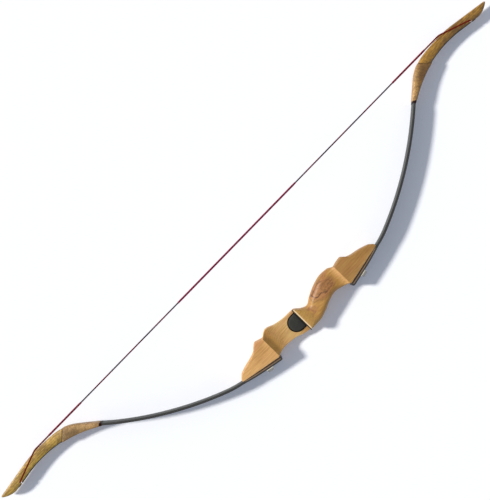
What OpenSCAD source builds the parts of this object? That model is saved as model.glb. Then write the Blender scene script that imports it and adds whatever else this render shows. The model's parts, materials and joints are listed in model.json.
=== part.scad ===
// Take-down recurve bow with static tips, strung, lying on its right side.
// X runs along the bow to the upper tip, Y towards the target, Z up out of the sight window side.
// The origin is on the surface the bow lies on, under the middle of the riser.
// A pose is [x, y, heading]: the limbs are drawn as runs of arcs, each [length, turn].

/* [Riser] */
// Length of the riser between its two fadeouts
riser_len = 392; // [380:1:410]
// Width of the riser across its limb blocks
riser_w = 46; // [44:1:50]
// How far the palm swell stands out of the near face
swell = 2; // [0:0.5:4]
// Narrowing of each face of a limb block towards its fadeout
block_taper = 3.5; // [1:0.5:5]
// Distance of the fadeout in front of the riser's middle line
fade_y = -2.5; // [-6:0.5:2]
// Angle of the limb pads
pad_angle = 11; // [8:0.5:14]

/* [Sight window] */
// Distance of the arrow shelf above the middle
shelf_x = 19; // [14:1:24]
// Wood left between the right side and the window
window_z = 24.5; // [22:0.5:28]
// Length of the window from the shelf to its crest
window_len = 86; // [78:1:88]
// Radius of the scoop that ends the window
scoop_r = 40; // [32:1:50]
// Thickness of the rug on the shelf
rug_t = 2.2; // [1.4:0.1:3]
// Thickness of the strike plate on the window
plate_t = 1.8; // [1:0.1:2.5]
// Width of the strike plate along the arrow
plate_w = 39; // [32:1:42]
// Height of the strike plate above the rug
plate_h = 30.5; // [25:0.5:36]

/* [Limbs] */
// Length of a limb on its pad, from butt to fadeout
butt_len = 90.5; // [88:0.5:96]
// Length of the dip where the limb leaves the pad
dip_len = 42; // [36:1:50]
// Turn of the limb through the dip
dip_turn = 10.7; // [8:0.1:12]
// Length of the working limb beyond the dip
limb_len = 256; // [245:1:270]
// Turn of the working limb when braced
limb_turn = 18.8; // [16:0.1:22]
// Width of a limb at the riser
limb_w = 38; // [34:1:39]
// Width of a limb where its tip is spliced on
splice_w = 34; // [28:1:37]
// Thickness of the belly and back glass
glass_t = 1.2; // [0.8:0.1:1.6]
// Thickness of the core at the butt
core_t = 2.7; // [2.2:0.1:3.4]
// Thickness of the core at the splice
core_tip_t = 2.4; // [2:0.1:3]
// Thickness of the butt wedge at the butt
wedge_t = 3.6; // [2.6:0.1:4.6]
// How long the wedge keeps its thickness before it runs out: 1 is an even taper
wedge_fade = 3; // [1:0.5:4]

/* [Tips] */
// Width of a rigid tip
tip_w = 12; // [10:0.5:14]
// Length of the belly of a tip before it bends, under the wrap
foot_len = 62; // [56:1:66]
// Length of the bend on the belly of a tip
bend_len = 56; // [50:1:62]
// Turn of the bend on the belly of a tip
bend_turn = 34.3; // [31:0.1:37]
// Length of the bridge up to the place where the string lands
bridge_len = 48; // [42:1:54]
// Length of the rise beyond the string's landing
rise_len = 38; // [32:1:44]
// Length of the straight belly out to the nose of the point
point_len = 79; // [74:1:84]
// Radius of that nose
nose_r = 2.5; // [1.5:0.5:4]
// Angle of a tip beyond the string's landing
tip_angle = 9; // [6:0.5:12]
// Length of the first bend on the back of a tip
heel_len = 20; // [16:1:26]
// Turn of the first bend on the back of a tip
heel_turn = 10; // [8:0.5:12]
// Length of the long sweep on the back of a tip
sweep_len = 178; // [172:1:184]
// Length of the straight back from the sweep to the point's curve
crown_len = 34; // [30:1:38]
// Distance of the nock along the straight back
nock_at = 23; // [18:0.5:26]
// Depth of the nock
nock_depth = 7; // [5:0.5:8]
// Extra width of a tip where its bend ends
tip_flare = 2; // [0:0.5:4]
// Length over which a tip comes down to its width before the string's landing
neck_len = 12; // [8:1:20]
// Length of the wrap along the back of a tip
wrap_len = 84; // [76:1:92]
// Distance of the wrap beyond the end of the core
wrap_from = 16.5; // [12:0.5:20]
// Thickness of the wrap
wrap_t = 1.5; // [1:0.1:2]
// Width of the thread band at the inner end of the wrap
band_len = 6; // [4:0.5:10]
// Thickness of the thread bands
band_t = 0.8; // [0.5:0.1:1.2]

/* [String] */
// Diameter of the bare string
string_d = 3; // [2:0.2:3.4]
// Diameter of the loops, which are served all round
loop_d = 3.2; // [2.4:0.2:3.6]
// Diameter over the servings
serving_d = 4.2; // [3.6:0.2:5]
// Length of the served string inside of each loop
end_serving_len = 96; // [80:1:120]
// Length of the fork where a loop closes
fork_len = 34; // [28:1:40]
// Length of the centre serving on each side of the nocking point
centre_serving_len = 175; // [120:1:190]
// Length over which the two halves lap at the nocking point
lap_len = 32; // [30:1:40]

/* [Limb bolts] */
// Diameter of the limb bolts
bolt_d = 8; // [8:0.1:9]
// Distance of a limb bolt from the butt
bolt_from_butt = 30; // [28:0.5:34]
// Distance of each locating pin from the bolt
pin_offset = 24; // [20:0.5:26]
// Diameter of the locating pins
pin_d = 6; // [5:0.5:7]
// Depth of the threaded bush in the riser
bush_len = 20; // [16:1:22]
// Diameter of the threaded bush
bush_d = 12; // [11:0.5:14]
// Diameter of the washer under a bolt head
washer_d = 19; // [17:0.5:23]
// Thickness of that washer
washer_t = 2.5; // [1.8:0.1:3.2]
// Width across the flats of a bolt head
head_af = 13; // [12:0.5:14]
// Height of a bolt head
head_h = 5.3; // [4:0.1:7]

/* [Clearances] */
// Running gap between a bolt and its bush, and round each pin
fit_gap = 0.05; // [0.02:0.01:0.1]
// Gap between the string and the wood it lies against
string_gap = 0.3; // [0.2:0.05:0.5]
// Gap between pieces that are only laid against each other
seat_gap = 0.05; // [0.02:0.01:0.2]
// Gap round a bolt where it passes through a limb
hole_gap = 0.3; // [0.1:0.05:0.5]

/* [Hidden] */

upper = 1;
lower = -1;
step_len = 9;
far = 2000;
through = 200;
skin = 2;
round_fn = 48;

mid_z = riser_w / 2;
fade_x = riser_len / 2;
glass_over = 30;
crest_x = shelf_x + window_len;

// A pose moved along an arc, and the pose at a distance along a run of arcs.
function chord(len, turn) = turn == 0 ? len : 2 * len / (turn * PI / 180) * sin(turn / 2);
function along(p, len, turn) = [p[0] + chord(len, turn) * cos(p[2] + turn / 2),
                                p[1] + chord(len, turn) * sin(p[2] + turn / 2),
                                p[2] + turn];
function pose_on(p, run, s, i = 0) =
    i == len(run) - 1 || s <= run[i][0] ? along(p, s, run[i][1] * s / run[i][0])
                                        : pose_on(along(p, run[i][0], run[i][1]), run, s - run[i][0], i + 1);
// The point at a distance to the back side of a pose.
function beside(p, d) = [p[0] - d * sin(p[2]), p[1] + d * cos(p[2])];
function run_length(run, i = 0) = i == len(run) ? 0 : run[i][0] + run_length(run, i + 1);
function stations(s0, s1) = let (n = ceil((s1 - s0) / step_len)) [for (i = [0:n]) s0 + (s1 - s0) * i / n];
function flipped(list) = [for (i = [len(list) - 1:-1:0]) list[i]];

// The belly surface of the limb, from the butt to the splice.
butt_pose = [fade_x - butt_len * cos(pad_angle), fade_y + butt_len * sin(pad_angle), -pad_angle];
limb_run = [[butt_len, 0], [dip_len, -dip_turn], [limb_len, -limb_turn]];
limb_end = run_length(limb_run);
flex_len = dip_len + limb_len;
splice_angle = -(pad_angle + dip_turn + limb_turn);
function limb_pose(s) = pose_on(butt_pose, limb_run, s);

// Thickness of the stack: the wedge runs out at the fadeout, and the core thins to the splice.
function wedge_at(s) = wedge_t * max(0, 1 - pow(s / butt_len, wedge_fade));
function core_at(s) = core_t + (core_tip_t - core_t) * s / limb_end;
function core_from(s) = glass_t + wedge_at(s);
function back_from(s) = core_from(s) + core_at(s);
function limb_t(s) = back_from(s) + glass_t;

// The limb bends at three lines, each in the middle of a third of its working length.
flex_count = 3;
function flex_at(i) = butt_len + flex_len * (2 * i + 1) / (2 * flex_count);
root_stations = concat(stations(0, butt_len), [for (x = stations(butt_len, flex_at(0))) if (x > butt_len) x]);

// The belly of the rigid tip starts at the splice, and its back starts on the limb's back.
splice_pose = limb_pose(limb_end);
ease_turn = -(splice_angle + bend_turn);
tip_belly_run = [[foot_len, 0], [bend_len, bend_turn], [bridge_len, ease_turn],
                 [rise_len, tip_angle], [point_len, 0]];
tip_back_pose = concat(beside(splice_pose, limb_t(limb_end)), [splice_angle]);
tip_back_run = [[heel_len, heel_turn], [sweep_len, tip_angle - splice_angle - heel_turn], [crown_len, 0]];
function tip_belly(s) = pose_on(splice_pose, tip_belly_run, s);
function tip_back(s) = pose_on(tip_back_pose, tip_back_run, s);
tip_belly_len = run_length(tip_belly_run);
tip_back_len = run_length(tip_back_run);

// Where the string lands on the tip, and where its loop sits in the nock.
landing = tip_belly(foot_len + bend_len + bridge_len);
string_y = landing[1] - string_gap - loop_d / 2;
nock_r = loop_d / 2 + string_gap;
nock_mouth = tip_back(heel_len + sweep_len + nock_at);
nock = beside(nock_mouth, nock_r - nock_depth);
nock_lean = 20;
strand_z = (tip_w + loop_d) / 2 + string_gap;
fork_x = landing[0] - fork_len;

// The pad, the bolt and the pins share the pose of the pad at the bolt.
bolt_s = bolt_from_butt;
bolt_pose = limb_pose(bolt_s);
bolt_r = bolt_d / 2;
pin_r = pin_d / 2;
pin_depth = 12;
bush_sink = 0.5;
washer_seat = limb_t(bolt_s - washer_d / 2) + seat_gap;

// A smooth curve through points, which never overshoots them: its slope is level at each high or low.
function secant(t, i) = (t[i + 1][1] - t[i][1]) / (t[i + 1][0] - t[i][0]);
function slope(t, i) = i == 0 ? secant(t, 0) : i == len(t) - 1 ? secant(t, i - 1) :
    let (a = secant(t, i - 1), b = secant(t, i)) a * b <= 0 ? 0 : 2 * a * b / (a + b);
function interval(t, x, i = 0) = i >= len(t) - 2 || x <= t[i + 1][0] ? i : interval(t, x, i + 1);
function curve(t, x) =
    let (i = interval(t, x), w = t[i + 1][0] - t[i][0], u = min(1, max(0, (x - t[i][0]) / w)))
    t[i][1] * (1 + 2 * u) * (1 - u) * (1 - u) + slope(t, i) * w * u * (1 - u) * (1 - u)
    + t[i + 1][1] * u * u * (3 - 2 * u) - slope(t, i + 1) * w * u * u * (1 - u);
function pad_y(x) = fade_y + (fade_x - abs(x)) * tan(pad_angle);
pad_end = butt_pose[0] + 1;
pad_drop = 4;
drop_y = pad_y(pad_end) - skin / 2;
// The near face of the lower limb block ends in a crisp ridge here, where the grip begins.
ridge_x = -104;

// The riser's outline, from the lower fadeout to the upper one.
belly_line = [
    [-fade_x, -8], [-fade_x + 6, -13.5], [-fade_x + 16, -17.5], [-fade_x + 31, -22],
    [-fade_x + 46, -25], [-fade_x + 57, -29], [-fade_x + 62, -33.5], [-fade_x + 68, -38],
    [-fade_x + 80, -36.5], [-105, -34], [-92, -40.5], [-73, -42], [-57, -39], [-41, -33.5],
    [-25, -26], [-8, -17], [6, -23], [shelf_x - 1, -32], [42, -33], [crest_x - 39, -37],
    [crest_x - 17, -44.5], [crest_x - 8, -41], [crest_x, -36], [fade_x - 82, -38.5],
    [fade_x - 73, -41], [fade_x - 66, -37], [fade_x - 57, -29.5], [fade_x - 44, -24.5],
    [fade_x - 29, -21], [fade_x - 18, -18], [fade_x - 8, -14.5], [fade_x - 3, -10.5], [fade_x, -7]];
back_line = [
    [-fade_x, pad_y(fade_x) + skin], [-pad_end, pad_y(pad_end) + skin], [-pad_end + pad_drop, drop_y],
    [-92, 9], [-70, 4], [-48, 9], [-30, 17], [-6, 23.5], [shelf_x + 1, 22.5], [shelf_x + 16, 20],
    [58, 12.5], [87, 10], [pad_end - pad_drop, drop_y], [pad_end, pad_y(pad_end) + skin],
    [fade_x, pad_y(fade_x) + skin]];
near_line = [
    [-fade_x, riser_w - block_taper], [-fade_x + 68, riser_w], [ridge_x, riser_w],
    [ridge_x + 4, riser_w - 1.8], [ridge_x + 12, riser_w - 2.6], [-60, riser_w + swell],
    [-25, riser_w - 3], [-8, riser_w - 5], [10, riser_w - 1], [shelf_x, riser_w], [crest_x, riser_w],
    [fade_x - 73, riser_w], [fade_x, riser_w - block_taper]];
far_line = [
    [-fade_x, block_taper], [-fade_x + 66, -skin], [fade_x - 66, -skin], [fade_x, block_taper]];
belly_round = [
    [-fade_x, 2.5], [-fade_x + 68, 3], [ridge_x, 3], [ridge_x + 8, 8], [-73, 13], [-41, 14], [-8, 13], [12, 6],
    [shelf_x, 3.5], [60, 5], [crest_x, 3], [fade_x, 2.5]];
back_round = [
    [-fade_x, 2], [-pad_end, 3], [-80, 11], [-30, 13], [0, 10], [shelf_x, 4], [60, 7], [95, 6],
    [pad_end - skin, 2.5], [fade_x, 2]];
riser_sections = 98;
corner_steps = 5;

// One corner of a section: centre, radius and the angle it starts at.
function corner(c, r, from) = [for (k = [0:corner_steps])
    [c[0] + r * cos(from + 90 * k / corner_steps), c[1] + r * sin(from + 90 * k / corner_steps)]];
function section(x) =
    let (y0 = curve(belly_line, x), y1 = curve(back_line, x),
         z0 = curve(far_line, x), z1 = curve(near_line, x),
         most = 0.48 * min(y1 - y0, z1 - z0),
         b = min(curve(belly_round, x), most), k = min(curve(back_round, x), most))
    concat(corner([y1 - k, z1 - k], k, 0), corner([y0 + b, z1 - b], b, 90),
           corner([y0 + b, z0 + b], b, 180), corner([y1 - k, z0 + k], k, 270));

module riser_body() {
    n = 4 * (corner_steps + 1);
    xs = [for (i = [0:riser_sections]) -fade_x + riser_len * i / riser_sections];
    points = [for (x = xs) for (q = section(x)) [x, q[0], q[1]]];
    sides = [for (i = [0:riser_sections - 1]) for (j = [0:n - 1])
        let (a = i * n + j, b = i * n + (j + 1) % n, c = a + n, d = b + n) for (f = [[a, c, b], [b, c, d]]) f];
    ends = [[for (j = [0:n - 1]) j], [for (j = [n - 1:-1:0]) riser_sections * n + j]];
    polyhedron(points, concat(sides, ends), convexity = 6);
}

// Things that are the same on both limbs are drawn for the upper one and mirrored.
module on_limb(side) { mirror([side == upper ? 0 : 1, 0, 0]) translate([0, 0, mid_z]) children(); }
// A frame on the pad at the bolt: x along the limb, y out of the pad.
module on_pad(side) {
    on_limb(side) translate([bolt_pose[0], bolt_pose[1], 0]) rotate(bolt_pose[2]) children();
}
// A round bar that stands on the pad, from one height to another.
module post(x, r, from, to) {
    translate([x, from, 0]) rotate([-90, 0, 0]) cylinder(r = r, h = to - from, $fn = round_fn);
}
// The space beyond the pad, where the limb lies.
module over_pad(side) { on_pad(side) translate([-far / 2, 0, -through / 2]) cube([far, far, through]); }

module window_cut() {
    reach = sqrt(pow(scoop_r, 2) - pow(scoop_r - (riser_w - window_z), 2));
    centre = [crest_x - reach, window_z + scoop_r];
    rise = asin(reach / scoop_r);
    steps = 10;
    scoop = [for (i = [0:steps]) let (a = rise * i / steps)
        [centre[0] + scoop_r * sin(a), centre[1] - scoop_r * cos(a)]];
    outline = concat([[shelf_x, riser_w + swell + skin], [shelf_x, window_z]], scoop,
                     [[crest_x, riser_w + swell + skin]]);
    rotate([90, 0, 0]) linear_extrude(height = through, center = true) polygon(outline);
}

module riser() {
    color("#c89a55") difference() {
        riser_body();
        translate([-far / 2, -far / 2, -through]) cube([far, far, through]);
        window_cut();
        for (side = [upper, lower]) {
            over_pad(side);
            on_pad(side) {
                post(0, bush_d / 2 + seat_gap, -bush_len - bush_sink, skin);
                for (x = [-pin_offset, pin_offset]) post(x, pin_r + fit_gap, -pin_depth, skin);
            }
        }
    }
}

plate_y = -7.4;
module strike_plate() {
    r = plate_w / 2;
    x0 = shelf_x + rug_t + seat_gap;
    color("#2b2523") translate([x0, plate_y, window_z]) linear_extrude(height = plate_t) {
        intersection() {
            translate([plate_h - r, 0]) circle(r = r, $fn = round_fn);
            translate([0, -r]) square([plate_h, plate_w]);
        }
        translate([0, -r]) square([plate_h - r, plate_w]);
    }
}

rug_edge = 1.5;
module shelf_rug() {
    y0 = curve(belly_line, shelf_x) - rug_edge;
    y1 = curve(back_line, shelf_x) + rug_edge;
    z0 = window_z + plate_t + string_gap;
    color("#1c1917") translate([shelf_x, y0, z0]) cube([rug_t, y1 - y0, riser_w - z0 - rug_edge]);
}

module limb_bushes() {
    color("#b8995a") for (side = [upper, lower]) on_pad(side) difference() {
        post(0, bush_d / 2, -bush_len - bush_sink, -bush_sink);
        post(0, bolt_r + fit_gap, -bush_len - 2 * bush_sink, skin);
    }
}

function pin_top(x) = back_from(bolt_s + x) - seat_gap;
module locating_pins() {
    color("#9a9ea2") for (side = [upper, lower]) on_pad(side)
        for (x = [-pin_offset, pin_offset]) post(x, pin_r, -pin_depth, pin_top(x) - string_gap);
}

module butt_caps() {
    color("#151515") for (side = [upper, lower]) on_limb(side)
        translate([butt_pose[0], butt_pose[1], -limb_w / 2]) rotate(butt_pose[2]) intersection() {
            translate([0, limb_t(0) / 2, 0]) cylinder(d = limb_t(0), h = limb_w, $fn = round_fn);
            translate([-limb_t(0), 0, 0]) cube([limb_t(0), limb_t(0), limb_w]);
        }
}

// The plan of a limb seen from its belly, widened all round by a margin.
function half_width(w, more) = w / 2 + more;
module limb_plan(more = 0) {
    right = [[butt_pose[0] - skin, half_width(limb_w, more)], [fade_x, half_width(limb_w, more)],
             [splice_pose[0], half_width(splice_w, more)],
             [tip_belly(foot_len + bend_len)[0], half_width(tip_w + tip_flare, more)],
             [landing[0] - neck_len, half_width(tip_w, more)],
             [tip_belly(tip_belly_len)[0] + nose_r + skin, half_width(tip_w, more)]];
    left = [for (q = flipped(right)) [q[0], -q[1]]];
    rotate([90, 0, 0]) linear_extrude(height = far, center = true) polygon(concat(right, left));
}
module in_plan(more = 0) {
    intersection() {
        linear_extrude(height = through, center = true) children();
        limb_plan(more);
    }
}

// Outlines of the laminations between two distances along the limb.
module belly_glass_shape(s) {
    polygon(concat([for (x = s) beside(limb_pose(x), 0)], [for (x = flipped(s)) beside(limb_pose(x), glass_t)]));
}
module core_shape(s) {
    polygon(concat([for (x = s) beside(limb_pose(x), core_from(x))],
                   [for (x = flipped(s)) beside(limb_pose(x), back_from(x))]));
}
module back_glass_shape(s) {
    polygon(concat([for (x = s) beside(limb_pose(x), back_from(x))],
                   [for (x = flipped(s)) beside(limb_pose(x), limb_t(x))]));
}
module wedge_shape() {
    polygon(concat([beside(limb_pose(0), glass_t)],
                   [for (x = flipped(stations(0, butt_len))) beside(limb_pose(x), core_from(x))]));
}
module butt_holes(side) {
    on_pad(side) {
        post(0, bolt_r + hole_gap, -skin, washer_seat + skin);
        for (x = [-pin_offset, pin_offset]) post(x, pin_r + fit_gap, -skin, pin_top(x));
    }
}

glass_colour = "#26282a";
core_colour = "#1d1c1b";
module root_belly_glass(side) {
    color(glass_colour) difference() {
        on_limb(side) in_plan() belly_glass_shape(root_stations);
        butt_holes(side);
    }
}
module root_wedge(side) {
    color("#7a4f2a") difference() {
        on_limb(side) in_plan() wedge_shape();
        butt_holes(side);
    }
}
module root_core(side) {
    color(core_colour) difference() {
        on_limb(side) in_plan() core_shape(root_stations);
        butt_holes(side);
    }
}
module root_back_glass(side) {
    color(glass_colour) difference() {
        on_limb(side) in_plan() back_glass_shape(root_stations);
        butt_holes(side);
    }
}
module working_belly_glass(side, i) {
    color(glass_colour) on_limb(side) in_plan() belly_glass_shape(stations(flex_at(i), flex_at(i + 1)));
}
module working_core(side, i) {
    color(core_colour) on_limb(side) in_plan() core_shape(stations(flex_at(i), flex_at(i + 1)));
}
module working_back_glass(side, i) {
    color(glass_colour) on_limb(side) in_plan() back_glass_shape(stations(flex_at(i), flex_at(i + 1)));
}

// Beyond the last bend the belly glass runs a little way up the tip, and the back glass all of it.
last_flex = flex_at(flex_count - 1);
module outer_belly_glass(side) {
    s = stations(last_flex, limb_end);
    color(glass_colour) on_limb(side) in_plan() polygon(concat(
        [for (x = s) beside(limb_pose(x), 0)], [beside(tip_belly(glass_over), 0)],
        [beside(tip_belly(glass_over), glass_t)], [for (x = flipped(s)) beside(limb_pose(x), glass_t)]));
}
module outer_core(side) {
    color(core_colour) on_limb(side) in_plan() core_shape(stations(last_flex, limb_end));
}
module tip_back_glass(side) {
    s = stations(last_flex, limb_end);
    t = [for (x = stations(0, tip_back_len)) if (x > 0) x];
    color(glass_colour) on_limb(side) difference() {
        in_plan() polygon(concat(
            [for (x = s) beside(limb_pose(x), back_from(x))], [for (x = t) beside(tip_back(x), -glass_t)],
            [for (x = flipped(t)) beside(tip_back(x), 0)], [for (x = flipped(s)) beside(limb_pose(x), limb_t(x))]));
        nock_cut();
    }
}

// The nock is a slot with a round bottom, cut in from the back and leaning towards the point.
module nock_cut() {
    translate([nock[0], nock[1], 0]) rotate(tip_angle - nock_lean) {
        cylinder(r = nock_r, h = through, center = true, $fn = round_fn);
        translate([-nock_r, 0, -through / 2]) cube([2 * nock_r, 3 * nock_depth, through]);
    }
}
// The point: a small nose from the end of the belly, then an arc back to the end of the straight back.
// The nose turns until it runs smoothly into that arc.
function on_nose(turn) =
    let (e = tip_belly(tip_belly_len), c = beside(e, nose_r))
    [c[0] + nose_r * sin(e[2] + turn), c[1] - nose_r * cos(e[2] + turn)];
function crown_turn(b) = let (a = tip_back(tip_back_len)) 2 * (atan2(b[1] - a[1], b[0] - a[0]) - a[2]);
function settled(turn, passes) = passes == 0 ? turn : settled(180 + crown_turn(on_nose(turn)), passes - 1);
nose_turn = settled(120, 6);
point_steps = 8;
function nose_curve() = [for (i = [0:point_steps]) on_nose(nose_turn * i / point_steps)];
function crown_curve() =
    let (a = tip_back(tip_back_len), b = on_nose(nose_turn), turn = crown_turn(b),
         whole = norm([b[0] - a[0], b[1] - a[1]]) * (turn * PI / 360) / sin(turn / 2))
    [for (i = [1:point_steps - 1]) let (p = along(a, whole * i / point_steps, turn * i / point_steps)) [p[0], p[1]]];
module tip_shape() {
    belly = [for (x = stations(0, tip_belly_len)) if (x > glass_over && x < tip_belly_len) x];
    back = stations(0, tip_back_len);
    polygon(concat(
        [beside(splice_pose, glass_t)], [beside(tip_belly(glass_over), glass_t)], [beside(tip_belly(glass_over), 0)],
        [for (x = belly) beside(tip_belly(x), 0)], nose_curve(), flipped(crown_curve()),
        [beside(tip_back(tip_back_len), 0)], [for (x = flipped(back)) beside(tip_back(x), -glass_t)]));
}
module tip(side) {
    color("#b98a3c") on_limb(side) difference() {
        in_plan() tip_shape();
        nock_cut();
    }
}

// The outline of the spliced tip between two distances along its back, grown by a margin.
function belly_from_back(s) = s * (foot_len + bend_len + bridge_len) / (heel_len + sweep_len - crown_len / 2);
module spliced_shape(s0, s1, more) {
    s = stations(s0, s1);
    polygon(concat([for (x = s) beside(tip_belly(belly_from_back(x)), -more)],
                   [for (x = flipped(s)) beside(tip_back(x), more)]));
}
sleeve_gap = 2 * seat_gap;
module sleeve(side, s0, s1, t) {
    on_limb(side) difference() {
        in_plan(t) spliced_shape(s0, s1, t);
        in_plan(sleeve_gap) spliced_shape(s0 - skin, s1 + skin, sleeve_gap);
    }
}
module wrap(side) {
    color("#a8794f") sleeve(side, wrap_from, wrap_from + wrap_len, wrap_t);
}
band_gap = 2 * string_gap;
module thread_bands(side) {
    outer = wrap_from + wrap_len;
    color("#4a1f1c") {
        sleeve(side, wrap_from - band_len, wrap_from - band_gap, band_t);
        sleeve(side, outer + band_gap, outer + band_gap + band_len / 4, band_t);
    }
}

module washer(side) {
    color("#c9c5b8") on_pad(side) difference() {
        post(0, washer_d / 2, washer_seat, washer_seat + washer_t);
        post(0, bolt_r + hole_gap, washer_seat - skin, washer_seat + washer_t + skin);
    }
}
crown_t = 0.6;
module bolt(side) {
    seat = washer_seat + washer_t + seat_gap;
    color("#d6d2c6") on_pad(side) {
        post(0, bolt_r, -bush_len, seat + head_h / 2);
        translate([0, seat, 0]) rotate([-90, 0, 0]) cylinder(d = head_af / cos(30), h = head_h, $fn = 6);
        post(0, head_af / 2 - 1, seat + head_h / 2, seat + head_h + crown_t);
    }
}

// A round cord between two points.
module cord(a, b, r) {
    v = b - a;
    translate(a) rotate([0, acos(v[2] / norm(v)), atan2(v[1], v[0])])
        cylinder(r = r, h = norm(v), $fn = round_fn);
}
string_r = string_d / 2;
loop_r = loop_d / 2;
knuckle_r = loop_r + 0.1;
module loop(side) {
    color("#5c2a38") on_limb(side) {
        cord([nock[0], nock[1], -strand_z], [nock[0], nock[1], strand_z], loop_r);
        for (z = [-strand_z, strand_z]) {
            translate([nock[0], nock[1], z]) sphere(r = knuckle_r, $fn = round_fn);
            cord([nock[0], nock[1], z], [landing[0], string_y, z], loop_r);
            translate([landing[0], string_y, z]) sphere(r = knuckle_r, $fn = round_fn);
        }
    }
}
module string_half(side) {
    color("#4b4446") on_limb(side) difference() {
        union() {
            for (z = [-1, 1])
                cord([fork_x, string_y, z * loop_r / 2], [landing[0], string_y, z * strand_z], loop_r);
            cord([lap_len, string_y, 0], [fork_x + string_r, string_y, 0], string_r);
        }
        for (z = [-strand_z, strand_z])
            translate([landing[0], string_y, z]) sphere(r = knuckle_r + string_gap, $fn = round_fn);
    }
}
module served(side, from, to) {
    on_limb(side) difference() {
        cord([from, string_y, 0], [to, string_y, 0], serving_d / 2);
        cord([from - skin, string_y, 0], [to + skin, string_y, 0], string_r + seat_gap);
    }
}
serving_start = fork_x - 2 * loop_d;
module end_serving(side) { color("#5c2a38") served(side, serving_start - end_serving_len, serving_start); }

// At the nocking point the halves lap, each half round, with a small gap between them.
lap_over = 2;
module centre_serving(side) {
    lap_sign = side;
    color("#6a2f3c") union() {
        served(side, lap_len, centre_serving_len);
        on_limb(side) difference() {
            cord([-lap_over, string_y, 0], [lap_len, string_y, 0], serving_d / 2);
            translate([-far / 2, string_y - skin - serving_d, lap_sign > 0 ? string_gap / 2 - far : -string_gap / 2])
                cube([far, 2 * (skin + serving_d), far]);
        }
    }
}

riser();
strike_plate();
shelf_rug();
limb_bushes();
locating_pins();
butt_caps();
root_belly_glass(upper);  // upper_root_belly_glass
root_wedge(upper);  // upper_root_wedge
root_core(upper);  // upper_root_core
root_back_glass(upper);  // upper_root_back_glass
root_belly_glass(lower);  // lower_root_belly_glass
root_wedge(lower);  // lower_root_wedge
root_core(lower);  // lower_root_core
root_back_glass(lower);  // lower_root_back_glass
working_belly_glass(upper, 0);  // upper_inner_belly_glass
working_core(upper, 0);  // upper_inner_core
working_back_glass(upper, 0);  // upper_inner_back_glass
working_belly_glass(lower, 0);  // lower_inner_belly_glass
working_core(lower, 0);  // lower_inner_core
working_back_glass(lower, 0);  // lower_inner_back_glass
working_belly_glass(upper, 1);  // upper_mid_belly_glass
working_core(upper, 1);  // upper_mid_core
working_back_glass(upper, 1);  // upper_mid_back_glass
working_belly_glass(lower, 1);  // lower_mid_belly_glass
working_core(lower, 1);  // lower_mid_core
working_back_glass(lower, 1);  // lower_mid_back_glass
outer_belly_glass(upper);  // upper_outer_belly_glass
outer_core(upper);  // upper_outer_core
tip_back_glass(upper);  // upper_tip_back_glass
outer_belly_glass(lower);  // lower_outer_belly_glass
outer_core(lower);  // lower_outer_core
tip_back_glass(lower);  // lower_tip_back_glass
tip(upper);  // upper_tip
wrap(upper);  // upper_wrap
thread_bands(upper);  // upper_thread_bands
tip(lower);  // lower_tip
wrap(lower);  // lower_wrap
thread_bands(lower);  // lower_thread_bands
washer(upper);  // upper_washer
bolt(upper);  // upper_bolt
washer(lower);  // lower_washer
bolt(lower);  // lower_bolt
loop(upper);  // upper_loop
string_half(upper);  // upper_string
end_serving(upper);  // upper_end_serving
centre_serving(upper);  // upper_centre_serving
loop(lower);  // lower_loop
string_half(lower);  // lower_string
end_serving(lower);  // lower_end_serving
centre_serving(lower);  // lower_centre_serving
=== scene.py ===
"""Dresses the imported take-down recurve bow: wooden riser, glass-faced limbs, rigid tips, twisted string."""

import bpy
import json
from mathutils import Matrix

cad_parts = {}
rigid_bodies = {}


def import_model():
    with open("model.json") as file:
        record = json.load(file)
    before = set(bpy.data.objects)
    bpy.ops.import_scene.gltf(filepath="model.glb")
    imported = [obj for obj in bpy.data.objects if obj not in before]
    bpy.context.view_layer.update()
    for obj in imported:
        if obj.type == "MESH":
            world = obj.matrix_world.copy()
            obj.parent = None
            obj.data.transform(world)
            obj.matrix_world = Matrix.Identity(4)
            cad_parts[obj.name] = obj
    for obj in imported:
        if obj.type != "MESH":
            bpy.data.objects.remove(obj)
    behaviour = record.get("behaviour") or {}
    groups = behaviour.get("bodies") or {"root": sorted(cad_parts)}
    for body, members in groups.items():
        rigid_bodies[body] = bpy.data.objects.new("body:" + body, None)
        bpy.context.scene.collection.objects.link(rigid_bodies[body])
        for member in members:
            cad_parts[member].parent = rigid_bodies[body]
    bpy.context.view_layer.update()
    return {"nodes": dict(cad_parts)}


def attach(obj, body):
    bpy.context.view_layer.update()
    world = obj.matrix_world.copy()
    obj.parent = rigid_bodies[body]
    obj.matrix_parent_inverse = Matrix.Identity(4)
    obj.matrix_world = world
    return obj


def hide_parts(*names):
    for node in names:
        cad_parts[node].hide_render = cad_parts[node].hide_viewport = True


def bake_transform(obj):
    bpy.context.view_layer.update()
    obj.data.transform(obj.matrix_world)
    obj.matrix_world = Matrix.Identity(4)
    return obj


bl_info = {
    "name": "Take-down recurve bow",
    "version": (1, 0, 0),
    "blender": (4, 5, 0),
    "location": "View3D > Sidebar > Bow",
    "description": "Finely shaped pieces and finishes for a take-down recurve bow",
    "category": "Object",
}

import json
from math import atan2, cos, degrees, exp, hypot, inf, log, pi, radians, sin, sqrt, tan

import bmesh
import bpy
from bpy.props import FloatProperty, FloatVectorProperty, IntProperty, PointerProperty
from mathutils import Vector, noise

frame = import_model()

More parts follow.
